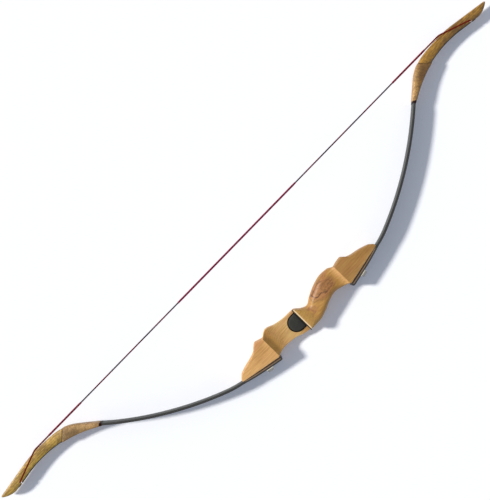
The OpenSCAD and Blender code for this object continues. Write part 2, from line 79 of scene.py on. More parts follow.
# The bow's own sizes in millimetres and degrees, as its frame has them.
MM = 0.001
UPPER, LOWER = 1, -1
SIDE_NAME = {UPPER: "upper", LOWER: "lower"}
RISER_W = 46.0
MID_Z = RISER_W / 2
FADE_X, FADE_Y = 196.0, -2.5
PAD_ANGLE = 11.0
SWELL, BLOCK_TAPER, SKIN = 2.0, 3.5, 2.0
SHELF_X, WINDOW_Z, CREST_X, SCOOP_R = 19.0, 24.5, 105.0, 40.0
RUG_T, PLATE_T, PLATE_W, PLATE_H, PLATE_Y, RUG_EDGE = 2.2, 1.8, 39.0, 30.5, -7.4, 1.5
BUTT_LEN, DIP_LEN, DIP_TURN, LIMB_LEN, LIMB_TURN = 90.5, 42.0, 10.7, 256.0, 18.8
LIMB_W, SPLICE_W, TIP_W, TIP_FLARE, NECK_LEN = 38.0, 34.0, 12.0, 2.0, 12.0
GLASS_T, CORE_T, CORE_TIP_T, WEDGE_T, WEDGE_FADE, GLASS_OVER = 1.2, 2.7, 2.4, 3.6, 3.0, 30.0
FOOT_LEN, BEND_LEN, BEND_TURN, BRIDGE_LEN, RISE_LEN, POINT_LEN = 62.0, 56.0, 34.3, 48.0, 38.0, 79.0
TIP_ANGLE, HEEL_LEN, HEEL_TURN, SWEEP_LEN, CROWN_LEN, CROWN_EASE = 9.0, 20.0, 10.0, 178.0, 34.0, 30.0
NOSE_R, NOCK_AT, NOCK_DEPTH, NOCK_LEAN = 2.5, 23.0, 7.0, 20.0
WRAP_LEN, WRAP_FROM, WRAP_T, BAND_LEN, BAND_T = 84.0, 16.5, 1.5, 6.0, 0.8
STRING_D, LOOP_D, SERVING_D = 3.0, 3.2, 4.2
END_SERVING_LEN, FORK_LEN, CENTRE_SERVING_LEN, LAP_LEN, LAP_OVER = 96.0, 34.0, 175.0, 32.0, 2.0
BOLT_D, BOLT_AT, WASHER_D, WASHER_T, HEAD_AF, HEAD_H = 8.0, 30.0, 19.0, 2.5, 13.0, 5.3
BUSH_LEN, SEAT_GAP, STRING_GAP, CROWN_T = 20.0, 0.05, 0.3, 0.6
SLEEVE_GAP, BAND_GAP = 2 * SEAT_GAP, 2 * STRING_GAP
FLEX_COUNT = 3


def arc_end(pose, length, turn):
    """A pose [x, y, heading] moved along an arc."""
    chord = length if abs(turn) < 1e-9 else 2 * length / radians(turn) * sin(radians(turn) / 2)
    heading = radians(pose[2] + turn / 2)
    return pose[0] + chord * cos(heading), pose[1] + chord * sin(heading), pose[2] + turn


def pose_on(pose, run, s):
    """The pose at a distance along a run of arcs, each (length, turn)."""
    for length, turn in run[:-1]:
        if s <= length:
            return arc_end(pose, s, turn * s / length)
        pose, s = arc_end(pose, length, turn), s - length
    length, turn = run[-1]
    return arc_end(pose, s, turn * s / length)


def beside(pose, distance):
    """The point at a distance to the back side of a pose."""
    return pose[0] - distance * sin(radians(pose[2])), pose[1] + distance * cos(radians(pose[2]))


def evenly(start, end, step):
    """Places from start to end, evenly spaced by about a step."""
    count = max(1, round(abs(end - start) / step))
    return [start + (end - start) * i / count for i in range(count + 1)]


BUTT_POSE = (FADE_X - BUTT_LEN * cos(radians(PAD_ANGLE)), FADE_Y + BUTT_LEN * sin(radians(PAD_ANGLE)),
             -PAD_ANGLE)
LIMB_RUN = ((BUTT_LEN, 0.0), (DIP_LEN, -DIP_TURN), (LIMB_LEN, -LIMB_TURN))
LIMB_END = BUTT_LEN + DIP_LEN + LIMB_LEN
SPLICE_ANGLE = -(PAD_ANGLE + DIP_TURN + LIMB_TURN)


def limb_pose(s):
    """The pose on a limb's belly, at a distance from its butt."""
    return pose_on(BUTT_POSE, LIMB_RUN, s)


def core_from(s):
    """How high the core starts over the belly, on the glass and on what is left of the wedge."""
    return GLASS_T + WEDGE_T * max(0.0, 1 - (s / BUTT_LEN) ** WEDGE_FADE)


def back_from(s):
    """How high the back glass starts over the belly."""
    return core_from(s) + CORE_T + (CORE_TIP_T - CORE_T) * s / LIMB_END


def limb_t(s):
    """A limb's whole thickness."""
    return back_from(s) + GLASS_T


SPLICE_POSE = limb_pose(LIMB_END)
TIP_BELLY_RUN = ((FOOT_LEN, 0.0), (BEND_LEN, BEND_TURN), (BRIDGE_LEN, -(SPLICE_ANGLE + BEND_TURN)),
                 (RISE_LEN, TIP_ANGLE), (POINT_LEN, 0.0))
TIP_BACK_START = beside(SPLICE_POSE, limb_t(LIMB_END)) + (SPLICE_ANGLE,)
TIP_BACK_RUN = ((HEEL_LEN, HEEL_TURN), (SWEEP_LEN, TIP_ANGLE - SPLICE_ANGLE - HEEL_TURN), (CROWN_LEN, 0.0))
TIP_BELLY_LEN = sum(length for length, _ in TIP_BELLY_RUN)
TIP_BACK_LEN = sum(length for length, _ in TIP_BACK_RUN)
LANDING_AT = FOOT_LEN + BEND_LEN + BRIDGE_LEN
BACK_AT_LANDING = HEEL_LEN + SWEEP_LEN - CROWN_LEN / 2


def tip_belly(s):
    """The pose on a tip's belly, at a distance from the splice."""
    return pose_on(SPLICE_POSE, TIP_BELLY_RUN, s)


def tip_back(s):
    """The pose on a tip's back with its glass, at a distance from the splice."""
    return pose_on(TIP_BACK_START, TIP_BACK_RUN, s)


LANDING = tip_belly(LANDING_AT)
STRING_Y = LANDING[1] - STRING_GAP - LOOP_D / 2
NOCK_R = LOOP_D / 2 + STRING_GAP
NOCK = beside(tip_back(HEEL_LEN + SWEEP_LEN + NOCK_AT), NOCK_R - NOCK_DEPTH)
STRAND_Z = (TIP_W + LOOP_D) / 2 + STRING_GAP
FORK_X = LANDING[0] - FORK_LEN
SERVING_START = FORK_X - 2 * LOOP_D
BOLT_POSE = limb_pose(BOLT_AT)
WASHER_SEAT = limb_t(BOLT_AT - WASHER_D / 2) + SEAT_GAP
# The limb bends at three lines. A lamination is made in three spans, which meet midway between two lines.
FLEX_LEN = DIP_LEN + LIMB_LEN
SPANS = [BUTT_LEN + FLEX_LEN * i / FLEX_COUNT for i in range(FLEX_COUNT + 1)]
PLAN = ((BUTT_POSE[0] - SKIN, LIMB_W / 2), (FADE_X, LIMB_W / 2), (SPLICE_POSE[0], SPLICE_W / 2),
        (tip_belly(FOOT_LEN + BEND_LEN)[0], (TIP_W + TIP_FLARE) / 2), (LANDING[0] - NECK_LEN, TIP_W / 2),
        (tip_belly(TIP_BELLY_LEN)[0] + NOSE_R + SKIN, TIP_W / 2))


def half_width(x):
    """Half the width of a limb or tip at a place along the bow."""
    for (x0, w0), (x1, w1) in zip(PLAN, PLAN[1:]):
        if x <= x1:
            return w0 + (w1 - w0) * max(0.0, x - x0) / (x1 - x0)
    return PLAN[-1][1]


def crown_at(x, crown):
    """How far the sides of a tip fall away to its back: not at the splice, and fully a little beyond it."""
    return crown * min(1.0, max(0.0, (x - SPLICE_POSE[0]) / CROWN_EASE))


# The riser's outline and roundings, from the lower fadeout to the upper one.
def pad_y(x):
    """The slope of the limb pads, which the limbs are bolted to."""
    return FADE_Y + (FADE_X - abs(x)) * tan(radians(PAD_ANGLE))


PAD_END = BUTT_POSE[0] + 1
PAD_DROP = 4.0
DROP_Y = pad_y(PAD_END) - SKIN / 2
# The near face of the lower limb block ends in a crisp ridge here, and falls away over a short slope.
RIDGE_X, RIDGE_SLOPE = -104.0, 4.0
BELLY_LINE = (
    (-FADE_X, -8), (-FADE_X + 6, -13.5), (-FADE_X + 16, -17.5), (-FADE_X + 31, -22), (-FADE_X + 46, -25),
    (-FADE_X + 57, -29), (-FADE_X + 62, -33.5), (-FADE_X + 68, -38), (-FADE_X + 80, -36.5), (-105, -34),
    (-92, -40.5), (-73, -42), (-57, -39), (-41, -33.5), (-25, -26), (-8, -17), (6, -23), (SHELF_X - 1, -32),
    (42, -33), (CREST_X - 39, -37), (CREST_X - 17, -44.5), (CREST_X - 8, -41), (CREST_X, -36),
    (FADE_X - 82, -38.5), (FADE_X - 73, -41), (FADE_X - 66, -37), (FADE_X - 57, -29.5), (FADE_X - 44, -24.5),
    (FADE_X - 29, -21), (FADE_X - 18, -18), (FADE_X - 8, -14.5), (FADE_X - 3, -10.5), (FADE_X, -7))
BACK_LINE = (
    (-FADE_X, pad_y(FADE_X) + SKIN), (-PAD_END, pad_y(PAD_END) + SKIN), (-PAD_END + PAD_DROP, DROP_Y),
    (-92, 9), (-70, 4), (-48, 9), (-30, 17), (-6, 23.5), (SHELF_X + 1, 22.5), (SHELF_X + 16, 20), (58, 12.5),
    (87, 10), (PAD_END - PAD_DROP, DROP_Y), (PAD_END, pad_y(PAD_END) + SKIN), (FADE_X, pad_y(FADE_X) + SKIN))
NEAR_LINE = (
    (-FADE_X, RISER_W - BLOCK_TAPER), (-FADE_X + 68, RISER_W), (RIDGE_X, RISER_W),
    (RIDGE_X + RIDGE_SLOPE, RISER_W - 1.8), (RIDGE_X + 12, RISER_W - 2.6), (-60, RISER_W + SWELL),
    (-25, RISER_W - 3), (-8, RISER_W - 5), (10, RISER_W - 1), (SHELF_X, RISER_W), (CREST_X, RISER_W),
    (FADE_X - 73, RISER_W), (FADE_X, RISER_W - BLOCK_TAPER))
FAR_LINE = ((-FADE_X, BLOCK_TAPER), (-FADE_X + 66, -SKIN), (FADE_X - 66, -SKIN), (FADE_X, BLOCK_TAPER))
BELLY_ROUND = (
    (-FADE_X, 2.5), (-FADE_X + 68, 3), (RIDGE_X, 3), (RIDGE_X + 8, 8), (-73, 13), (-41, 14), (-8, 13),
    (12, 6), (SHELF_X, 3.5), (60, 5), (CREST_X, 3), (FADE_X, 2.5))
BACK_ROUND = (
    (-FADE_X, 2), (-PAD_END, 3), (-80, 11), (-30, 13), (0, 10), (SHELF_X, 4), (60, 7), (95, 6),
    (PAD_END - SKIN, 2.5), (FADE_X, 2))


def curve(line, x):
    """A smooth curve through points, level at each high or low."""
    last = len(line) - 1
    secants = [(line[i + 1][1] - line[i][1]) / (line[i + 1][0] - line[i][0]) for i in range(last)]

    def slope(i):
        """The curve's slope at one of the points."""
        if i in (0, last):
            return secants[min(i, last - 1)]
        a, b = secants[i - 1], secants[i]
        return 0.0 if a * b <= 0 else 2 * a * b / (a + b)

    i = next((k for k in range(last - 1) if x <= line[k + 1][0]), last - 1)
    width = line[i + 1][0] - line[i][0]
    u = min(1.0, max(0.0, (x - line[i][0]) / width))
    return (line[i][1] * (1 + 2 * u) * (1 - u) ** 2 + slope(i) * width * u * (1 - u) ** 2
            + line[i + 1][1] * u * u * (3 - 2 * u) - slope(i + 1) * width * u * u * (1 - u))


def corner_points(centre, r, first, edge, y_max, z_min, z_max):
    """A rounded corner of the riser's section. Where a flat cuts into it, it keeps an edge of its own."""
    steps, edge = 9, min(edge, r)
    inner = r - edge
    middle = radians(first + 45)
    to_y, to_z = (1 if cos(middle) > 0 else -1), (1 if sin(middle) > 0 else -1)

    def reach(off):
        """How far the corner's arc reaches, at a distance from its centre."""
        return sqrt(max(0.0, inner * inner - off * off))

    points = []
    for k in range(steps + 1):
        a = radians(first + 90 * k / steps)
        y, z = centre[0] + inner * cos(a), centre[1] + inner * sin(a)
        if z > z_max - edge:
            z = z_max - edge
            y = centre[0] + to_y * reach(max(0.0, z - centre[1]))
        if z < z_min + edge:
            z = z_min + edge
            y = centre[0] + to_y * reach(max(0.0, centre[1] - z))
        if y > y_max - edge:
            y = y_max - edge
            z = centre[1] + to_z * reach(max(0.0, y - centre[0]))
            z = min(z_max - edge, max(z_min + edge, z))
        points.append((y + edge * cos(a), z + edge * sin(a)))
    return points


def riser_section(x, z_top, top_edge, edge):
    """A section across the riser, cut by the limb pads, by the side it lies on and by the window."""
    y0, y1 = curve(BELLY_LINE, x), curve(BACK_LINE, x)
    z0, z1 = curve(FAR_LINE, x), curve(NEAR_LINE, x)
    fall = (x - RIDGE_X) / RIDGE_SLOPE
    if 0 < fall < 1:
        z1 = RISER_W + (curve(NEAR_LINE, RIDGE_X + RIDGE_SLOPE) - RISER_W) * fall
    # Two roundings never quite meet.
    most = 0.48 * min(y1 - y0, z1 - z0)
    b, k = min(curve(BELLY_ROUND, x), most), min(curve(BACK_ROUND, x), most)
    cuts = (pad_y(x), 0.0, z_top)
    return (corner_points((y1 - k, z1 - k), k, 0, top_edge, *cuts)
            + corner_points((y0 + b, z1 - b), b, 90, top_edge, *cuts)
            + corner_points((y0 + b, z0 + b), b, 180, edge, *cuts)
            + corner_points((y1 - k, z0 + k), k, 270, edge, *cuts))


def window_height(x):
    """The floor of the sight window and its scoop, with a slightly eased crest."""
    sharpness, upright = 2.2, 0.98
    start = CREST_X - sqrt(SCOOP_R ** 2 - (SCOOP_R - (RISER_W - WINDOW_Z)) ** 2)
    if x <= start:
        return WINDOW_Z
    if x >= start + SCOOP_R * upright:
        return RISER_W
    rise = WINDOW_Z + SCOOP_R - sqrt(SCOOP_R ** 2 - (x - start) ** 2)
    return RISER_W - log(exp(-sharpness * (rise - RISER_W)) + 1) / sharpness


# Meshes.
def loft_faces(rings, around, joined=False):
    """Faces between rings of the same number of points. Both ends are closed, or joined to each other."""
    faces = []
    for i in range(rings if joined else rings - 1):
        for j in range(around):
            a, b = i * around + j, i * around + (j + 1) % around
            step = around if i < rings - 1 else around - rings * around
            faces.append((a, b, b + step, a + step))
    if not joined:
        faces.append(tuple(range(around - 1, -1, -1)))
        faces.append(tuple((rings - 1) * around + j for j in range(around)))
    return faces


def build_piece(name, points, faces, finishes, side=UPPER, grain=None, face_finish=None, smooth=35,
                welded=False):
    """A mesh object from points in millimetres, mirrored for the lower limb, that keeps its grain."""
    mesh = bpy.data.meshes.new(name)
    mesh.from_pydata([(side * x * MM, y * MM, z * MM) for x, y, z in points], [],
                     [f if side == UPPER else tuple(reversed(f)) for f in faces])
    piece = bpy.data.objects.new(name, mesh)
    bpy.context.scene.collection.objects.link(piece)
    for finish in finishes if isinstance(finishes, (list, tuple)) else [finishes]:
        mesh.materials.append(finish)
    if face_finish:
        mesh.polygons.foreach_set("material_index", face_finish)
    keep_grain(mesh, grain)
    if welded:
        work = bmesh.new()
        work.from_mesh(mesh)
        bmesh.ops.remove_doubles(work, verts=work.verts, dist=0.000002)
        bmesh.ops.recalc_face_normals(work, faces=work.faces)
        work.to_mesh(mesh)
        work.free()
    mesh.polygons.foreach_set("use_smooth", [True] * len(mesh.polygons))
    mesh.set_sharp_from_angle(angle=radians(smooth))
    mesh.update()
    return piece


def keep_grain(mesh, grain=None):
    """Stores the place of each point in the uncut piece, which its finish follows in every pose."""
    stored = mesh.attributes.get("grain") or mesh.attributes.new("grain", "FLOAT_VECTOR", "POINT")
    places = [v.co for v in mesh.vertices] if grain is None else [Vector(g) * MM for g in grain]
    stored.data.foreach_set("vector", [c for p in places for c in p])


def keep_edge_bend(piece):
    """Stores how sharply the surface bends outwards at each point, in 1/mm: handling wears it there, and a
    highlight is painted there.
    """
    sharpest = 2.0
    work = bmesh.new()
    work.from_mesh(piece.data)
    work.normal_update()
    bends = []
    for v in work.verts:
        offs = [e.other_vert(v).co - v.co for e in v.link_edges]
        offs = [o for o in offs if o.length > 1e-7]
        bend = -2 * sum(o.dot(v.normal) / o.length_squared for o in offs) / max(1, len(offs))
        bends.append(min(sharpest, max(0.0, bend * MM)))
    stored = piece.data.attributes.new("wear", "FLOAT", "POINT")
    stored.data.foreach_set("value", bends)
    work.free()


def rounded_box(lo, hi, half, r_lo, r_hi, steps=3):
    """A section between two heights, whose low corners have one radius and its high ones another."""
    points = []
    for height, sign, r, first in ((hi, 1, r_hi, 0), (lo, 1, r_lo, 90), (lo, -1, r_lo, 180),
                                   (hi, -1, r_hi, 270)):
        inward = -1 if height == hi else 1
        for k in range(steps + 1 if r > 0 else 1):
            a = radians(first + 90 * k / steps) if r > 0 else 0.0
            across, up = (sin(a), cos(a)) if r > 0 else (0.0, 0.0)
            points.append((height + inward * r + r * up, sign * (half - r) + r * across))
    return points


def crowned_box(tall, half, r_lo, r_hi, crown):
    """A rounded section whose two sides also bulge a little, fullest nearer the belly than the back."""
    steps, rows, fullest = 4, 6, 0.35
    section = rounded_box(0.0, tall, half, r_lo, r_hi, steps)
    high, low = section[steps], section[steps + 1]
    between = [(high[0] + (low[0] - high[0]) * k / rows, half) for k in range(1, rows)]
    section = (section[:steps + 1] + between + section[steps + 1:3 * (steps + 1)]
               + [(n, -z) for n, z in reversed(between)] + section[3 * (steps + 1):])
    return [(n, z * (1 - crown * ((n / tall - fullest) / (1 - fullest)) ** 2)) for n, z in section]


def tube_rings(path, r, around, side):
    """Rings round a path of points, without twist. Each ring's first point lies to one side of the path."""
    rings = []
    for i, p in enumerate(path):
        ahead = (path[min(i + 1, len(path) - 1)] - path[max(i - 1, 0)]).normalized()
        side = (side - side.dot(ahead) * ahead).normalized()
        other = ahead.cross(side)
        rings += [p + side * r * cos(2 * pi * j / around) + other * r * sin(2 * pi * j / around)
                  for j in range(around)]
    return rings


# Finishes.
class Finish:
    """A material that is put together node by node."""

    def __init__(self, name, on_grain=True):
        self.material = bpy.data.materials.new(name)
        self.material.use_nodes = True
        self.tree = self.material.node_tree
        self.shader = self.tree.nodes["Principled BSDF"]
        if on_grain:
            self.place = self.add("ShaderNodeAttribute", attribute_name="grain").outputs["Vector"]
        else:
            self.place = self.add("ShaderNodeTexCoord").outputs["Object"]

    def add(self, kind, **settings):
        """A new node of a kind, with its settings."""
        made = self.tree.nodes.new(kind)
        for key, value in settings.items():
            setattr(made, key, value)
        return made

    def feed(self, socket, value):
        """Links another node's output to a socket, or sets the socket to a plain value."""
        if isinstance(value, bpy.types.NodeSocket):
            self.tree.links.new(value, socket)
        else:
            socket.default_value = value

    def set(self, **values):
        """Sets or links sockets of the shader, which are named with _ for a space."""
        for key, value in values.items():
            self.feed(self.shader.inputs[key.replace("_", " ")], value)

    def math(self, operation, a, b=0.0, c=0.0):
        """An operation on up to three values."""
        made = self.add("ShaderNodeMath", operation=operation)
        for socket, value in zip(made.inputs, (a, b, c)):
            self.feed(socket, value)
        return made.outputs[0]

    def times(self, *values):
        """The product of values."""
        whole = values[0]
        for value in values[1:]:
            whole = self.math("MULTIPLY", whole, value)
        return whole

    def total(self, *parts):
        """The sum of values, each times its share."""
        whole = 0.0
        for value, share in parts:
            whole = self.math("MULTIPLY_ADD", value, share, whole)
        return whole

    def span(self, value, lo, hi, to_lo=0.0, to_hi=1.0):
        """A smooth change from one level to another while a value goes from lo to hi."""
        made = self.add("ShaderNodeMapRange", interpolation_type="SMOOTHSTEP")
        for socket, v in zip(made.inputs, (value, lo, hi, to_lo, to_hi)):
            self.feed(socket, v)
        return made.outputs[0]

    def between(self, value, rise, fall):
        """A share that rises from 0 to 1 over one range of a value, and falls back to 0 over a later one."""
        return self.times(self.span(value, *rise), self.span(value, *fall, 1.0, 0.0))

    def vector(self, operation, a, b=(0.0, 0.0, 0.0)):
        """An operation on one or two vectors. A length comes out as a value."""
        made = self.add("ShaderNodeVectorMath", operation=operation)
        self.feed(made.inputs[0], a)
        self.feed(made.inputs[1], b)
        return made.outputs["Value" if operation == "LENGTH" else "Vector"]

    def parts(self):
        """The three parts of the place."""
        made = self.add("ShaderNodeSeparateXYZ")
        self.feed(made.inputs[0], self.place)
        return made.outputs

    def noise(self, place, scale, detail=3.0, rough=0.55):
        """A noise about a half, with a scale per metre."""
        made = self.add("ShaderNodeTexNoise")
        self.feed(made.inputs["Vector"], place)
        for key, value in (("Scale", scale), ("Detail", detail), ("Roughness", rough)):
            made.inputs[key].default_value = value
        return made.outputs[0]

    def streaks(self, scale, squeeze, detail=3.0, rough=0.55, place=None):
        """A noise that is drawn out in each direction whose squeeze is under one."""
        return self.noise(self.vector("MULTIPLY", place or self.place, squeeze), scale, detail, rough)

    def colour_noise(self, scale):
        """Three independent noises, for a vector that shifts a place about."""
        made = self.add("ShaderNodeTexNoise")
        self.feed(made.inputs["Vector"], self.vector("MULTIPLY", self.place, (0.5, 1.0, 1.0)))
        made.inputs["Scale"].default_value = scale
        made.inputs["Detail"].default_value = 2.0
        return made.outputs["Color"]

    def wander(self, scale, amount):
        """The place, shifted about by up to half an amount each way."""
        off = self.vector("SUBTRACT", self.colour_noise(scale), (0.5, 0.5, 0.5))
        return self.vector("ADD", self.place, self.vector("MULTIPLY", off, amount))

    def wear(self):
        """The share that is worn and painted as a highlight, from the surface's stored outward bend, in 1/mm.
        """
        bend = self.add("ShaderNodeAttribute", attribute_name="wear").outputs["Fac"]
        patchy = self.span(self.noise(self.place, 130.0), 0.35, 0.6, 0.35, 1.0)
        return self.times(self.span(bend, 0.13, 0.4), patchy)

    def mix(self, share, a, b, blend="MIX"):
        """Goes from one colour to another with a share, or to their product."""
        made = self.add("ShaderNodeMix", data_type="RGBA", blend_type=blend)
        for name, value in (("Factor_Float", share), ("A_Color", a), ("B_Color", b)):
            if isinstance(value, tuple) and len(value) == 3:
                value += (1.0,)
            self.feed(next(s for s in made.inputs if s.identifier == name), value)
        return next(s for s in made.outputs if s.identifier == "Result_Color")

    def graded(self, colour, share, near, far, strength=1.0):
        """A colour times a gain, which goes from near to far with a share."""
        return self.mix(strength, colour, self.mix(share, near, far), "MULTIPLY")

    def bump(self, height, distance, strength=0.5):
        """Raises the surface with a height, by up to a distance in metres."""
        made = self.add("ShaderNodeBump")
        self.feed(made.inputs["Height"], height)
        made.inputs["Distance"].default_value = distance
        made.inputs["Strength"].default_value = strength
        self.feed(self.shader.inputs["Normal"], made.outputs["Normal"])


def rgba(colour, gain=1.0):
    """A colour for a shader, which takes linear ones. Properties hold it as sRGB."""
    def linear(c):
        return c / 12.92 if c <= 0.04045 else ((c + 0.055) / 1.055) ** 2.4
    return tuple(min(1.0, linear(c) * gain) for c in colour[:3]) + (1.0,)


def darker(colour, share):
    """A share of a colour, still as sRGB."""
    return [c * share for c in colour]


# Knots on the riser's near face: centre and reach in millimetres, the colours of the heart and of the rings,
# how many rings, and how strongly the heart shows.
KNOTS = (
    ((-83.0, -34.5, 47.0), (6.0, 4.0, 20.0), "blush", "blush", 0.5, 0.4),
    ((-52.0, -23.5, 47.0), (33.0, 16.5, 30.0), "heart", "bark", 2.2, 0.7),
    ((-11.0, -2.0, 44.0), (9.0, 8.0, 20.0), "heart", "heart", 0.8, 0.4))
# Stretches of the riser whose colour takes a gain: start, end and softness in millimetres, and gain.
RISER_TONES_AND_SHADING = (
    # Painted shade: the lower limb's block is darker, for the weaker light at that end.
    (-2 * FADE_X, RIDGE_X, 0.6, (0.61, 0.57, 0.40)),
    # The wood's own tones along the grip and the window.
    (-95.0, SHELF_X, 8.0, (0.71, 0.67, 0.42)),
    (-4.0, SHELF_X, 6.0, (1.12, 1.20, 1.35)),
    (SHELF_X, CREST_X, 2.0, (0.90, 0.93, 0.90)),
    (34.0, 70.0, 10.0, (1.12, 1.25, 1.40)),
    # The scoop under the crest: partly painted light where it faces away from the lamp, partly a yellower
    # tone.
    (CREST_X - 17, CREST_X, 6.0, (1.28, 1.20, 0.85)))
# The gains of each tip at its belly and at its back: painted light at the belly and painted shade at the
# back.
# The lower tip is darker all over, for the weaker light at that end; both keep some of their own yellower
# tone.
TIP_TONES_AND_SHADING = {
    UPPER: ((1.35, 1.36, 1.25), (0.66, 0.68, 0.24)),
    LOWER: ((0.92, 0.78, 0.38), (0.42, 0.34, 0.02))}
# For each wrap, a height over the belly in millimetres, and the gains at the belly and from that height on.
# The belly's gain is painted light, and the darker one beyond is painted shade, deeper on the lower wrap.
WRAP_TONES_AND_SHADING = {
    UPPER: (15.0, (1.12, 1.12, 1.05), (0.55, 0.54, 0.34)),
    LOWER: (13.0, (1.2, 1.2, 1.05), (0.38, 0.32, 0.12))}
# How strongly the tips and wraps are flecked.
FLECK_SHARE = 0.7


def wood_grain(f, light, dark, pith, spacing, contrast=1.0):
    """Plain wood: faint rings round a line along the bow, fine fibres, pores and soft patches."""
    place = f.wander(9.0, (0.0, 0.012, 0.012))
    ring = f.vector("LENGTH", f.vector("MULTIPLY", f.vector("SUBTRACT", place, pith), (0.06, 1.0, 1.0)))
    line = f.span(f.math("SINE", f.times(ring, 2 * pi / spacing)), -0.2, 1.0)
    fibre = f.streaks(760.0, (0.03, 1.0, 1.0), 5.0, 0.62, place)
    pores = f.span(f.streaks(2300.0, (0.07, 1.0, 1.0), 2.0, 0.5, place), 0.56, 0.68)
    cloud = f.span(f.streaks(34.0, (0.4, 1.0, 1.0), 3.0, 0.6, place), 0.32, 0.68)
    shares = ((line, 0.16), (f.span(fibre, 0.36, 0.64), 0.38), (cloud, 0.4), (pores, 0.16))
    share = f.total(*[(part, size * contrast) for part, size in shares])
    return f.mix(share, rgba(light), rgba(dark)), place, fibre, line


def oiled(f, colour, fibre, line, gloss, coat):
    """Oils wood thinly: its gloss follows the fibres, which stand out a little."""
    f.set(Base_Color=colour, Roughness=f.span(fibre, 0.3, 0.75, gloss - 0.05, gloss + 0.12),
          Coat_Weight=coat, Coat_Roughness=0.3, Coat_IOR=1.5)
    f.bump(f.total((fibre, 0.7), (line, 0.2)), 0.00005)
    return f.material


def knot(f, colour, centre, reach, heart, bark, count, strength):
    """A knot in wood: a mottled heart in broken dark rings, which stay open towards the lower limb."""
    off = f.vector("SUBTRACT", f.wander(55.0, (0.05, 0.026, 0.012)), tuple(c * MM for c in centre))
    off = f.vector("LENGTH", f.vector("MULTIPLY", off, tuple(1 / (r * MM) for r in reach)))
    inside = f.span(off, 0.75, 1.3, 1.0, 0.0)
    mottle = f.span(f.streaks(170.0, (0.45, 1.0, 1.0), 4.0, 0.7), 0.36, 0.58)
    colour = f.mix(f.times(inside, strength), colour, f.mix(mottle, rgba(heart, 0.34), rgba(heart, 1.2)))
    rings = f.span(f.math("SINE", f.times(f.math("SUBTRACT", off, 0.55), 2 * pi * count)), 0.3, 1.0)
    elsewhere = f.vector("ADD", f.place, (0.0, 0.5, 0.0))
    broken = f.span(f.noise(elsewhere, 105.0, 4.0, 0.7), 0.36, 0.52, 0.15, 0.95)
    x, _, _ = f.parts()
    closed = f.span(x, (centre[0] - 0.7 * reach[0]) * MM, (centre[0] + 0.1 * reach[0]) * MM, 0.2, 1.0)
    return f.mix(f.times(rings, f.span(off, 0.2, 0.5), inside, broken, closed), colour, rgba(bark))


def riser_finish(w, shelf):
    """Riser wood: ruddy streaks, knots, tones, painted shade and light, pale edges, a painted shelf
    highlight.
    """
    f = Finish("riser wood")
    pith = (0.02, 0.045, -0.03)
    colour, place, fibre, line = wood_grain(f, w.riser_light, w.riser_dark, pith, w.rings)
    ruddy = f.span(f.streaks(120.0, (0.12, 1.0, 1.0), 3.0, 0.6, place), 0.5, 0.72, 0.0, 0.6)
    colour = f.mix(ruddy, colour, rgba(w.ruddy))
    for centre, reach, heart, bark, count, strength in KNOTS:
        colour = knot(f, colour, centre, reach, getattr(w, heart), getattr(w, bark), count, strength)
    x, _, z = f.parts()
    # Mostly the wood's own tones, with painted shade on the lower block and painted light in the scoop.
    for start, end, soft, gain in RISER_TONES_AND_SHADING:
        rise, fall = ((start - soft) * MM, (start + soft) * MM), ((end - soft) * MM, (end + soft) * MM)
        colour = f.mix(f.between(x, rise, fall), colour, gain, "MULTIPLY")
    # Paler on sharply rounded edges: partly wear, partly a painted highlight.
    colour = f.mix(f.times(f.wear(), 0.4), colour, rgba(w.riser_worn_lit_edge))
    # A pale band along the rounded near edge of the arrow shelf: a painted highlight.
    start, end, height = (SHELF_X - shelf) * MM, SHELF_X * MM, (RISER_W - 3.2) * MM
    rim = f.between(x, (start - 0.0004, start + 0.0002), (end - 0.0002, end + 0.0004))
    colour = f.mix(f.times(rim, f.span(z, height, height + 0.001)), colour, rgba(w.rim))
    return oiled(f, colour, fibre, line, 0.52, 0.03)


def tip_finish(side, w, stained_to):
    """Tip wood: strong grain, flecks, painted light and shade to the back, pale edges, a stained root."""
    f = Finish(f"{SIDE_NAME[side]} tip wood")
    pith, spacing, contrast = (0.5, -0.05, 0.05), 0.0034, 1.5
    colour, place, fibre, line = wood_grain(f, w.tip_light, w.tip_dark, pith, spacing, contrast)
    fleck = f.streaks(300.0, (0.5, 1.0, 1.0), 3.0, 0.65, place)
    colour = f.graded(colour, f.span(fleck, 0.4, 0.6), (1.42, 1.36, 1.3), (0.66, 0.58, 0.38), FLECK_SHARE)
    # Lighter at the belly and darker to the back: painted light and painted shade.
    across = f.add("ShaderNodeAttribute", attribute_name="across").outputs["Fac"]
    colour = f.graded(colour, f.span(across, 0.0, 1.0), *TIP_TONES_AND_SHADING[side])
    # Paler on sharply rounded edges: partly wear, partly a painted highlight.
    colour = f.mix(f.times(f.wear(), 0.8), colour, rgba(w.tip_worn))
    x, _, _ = f.parts()
    bare = f.span(f.math("ABSOLUTE", x), stained_to - 0.0005, stained_to + 0.0005)
    return oiled(f, f.mix(bare, rgba(w.stain), colour), fibre, line, 0.4, 0.12)


def glass_finish(name, thread, resin, gloss=0.46, speck=0.45, sheen=0.12):
    """Fibre glass: dark resin with fine threads along the limb, slightly speckled."""
    f = Finish(name)
    threads = f.streaks(1500.0, (0.03, 0.4, 1.0), 3.0, 0.7)
    specks = f.streaks(520.0, (0.35, 1.0, 1.0), 2.0, 0.8)
    cloud = f.noise(f.place, 22.0, 2.0)
    share = f.total((f.span(threads, 0.35, 0.7), 0.5), (f.span(specks, 0.5, 0.72), speck),
                    (f.span(cloud, 0.4, 0.65), 0.2))
    f.set(Base_Color=f.mix(share, rgba(resin), rgba(thread)), Specular_IOR_Level=sheen,
          Roughness=f.span(specks, 0.3, 0.75, gloss, gloss + 0.14))
    f.bump(threads, 0.00002)
    return f.material


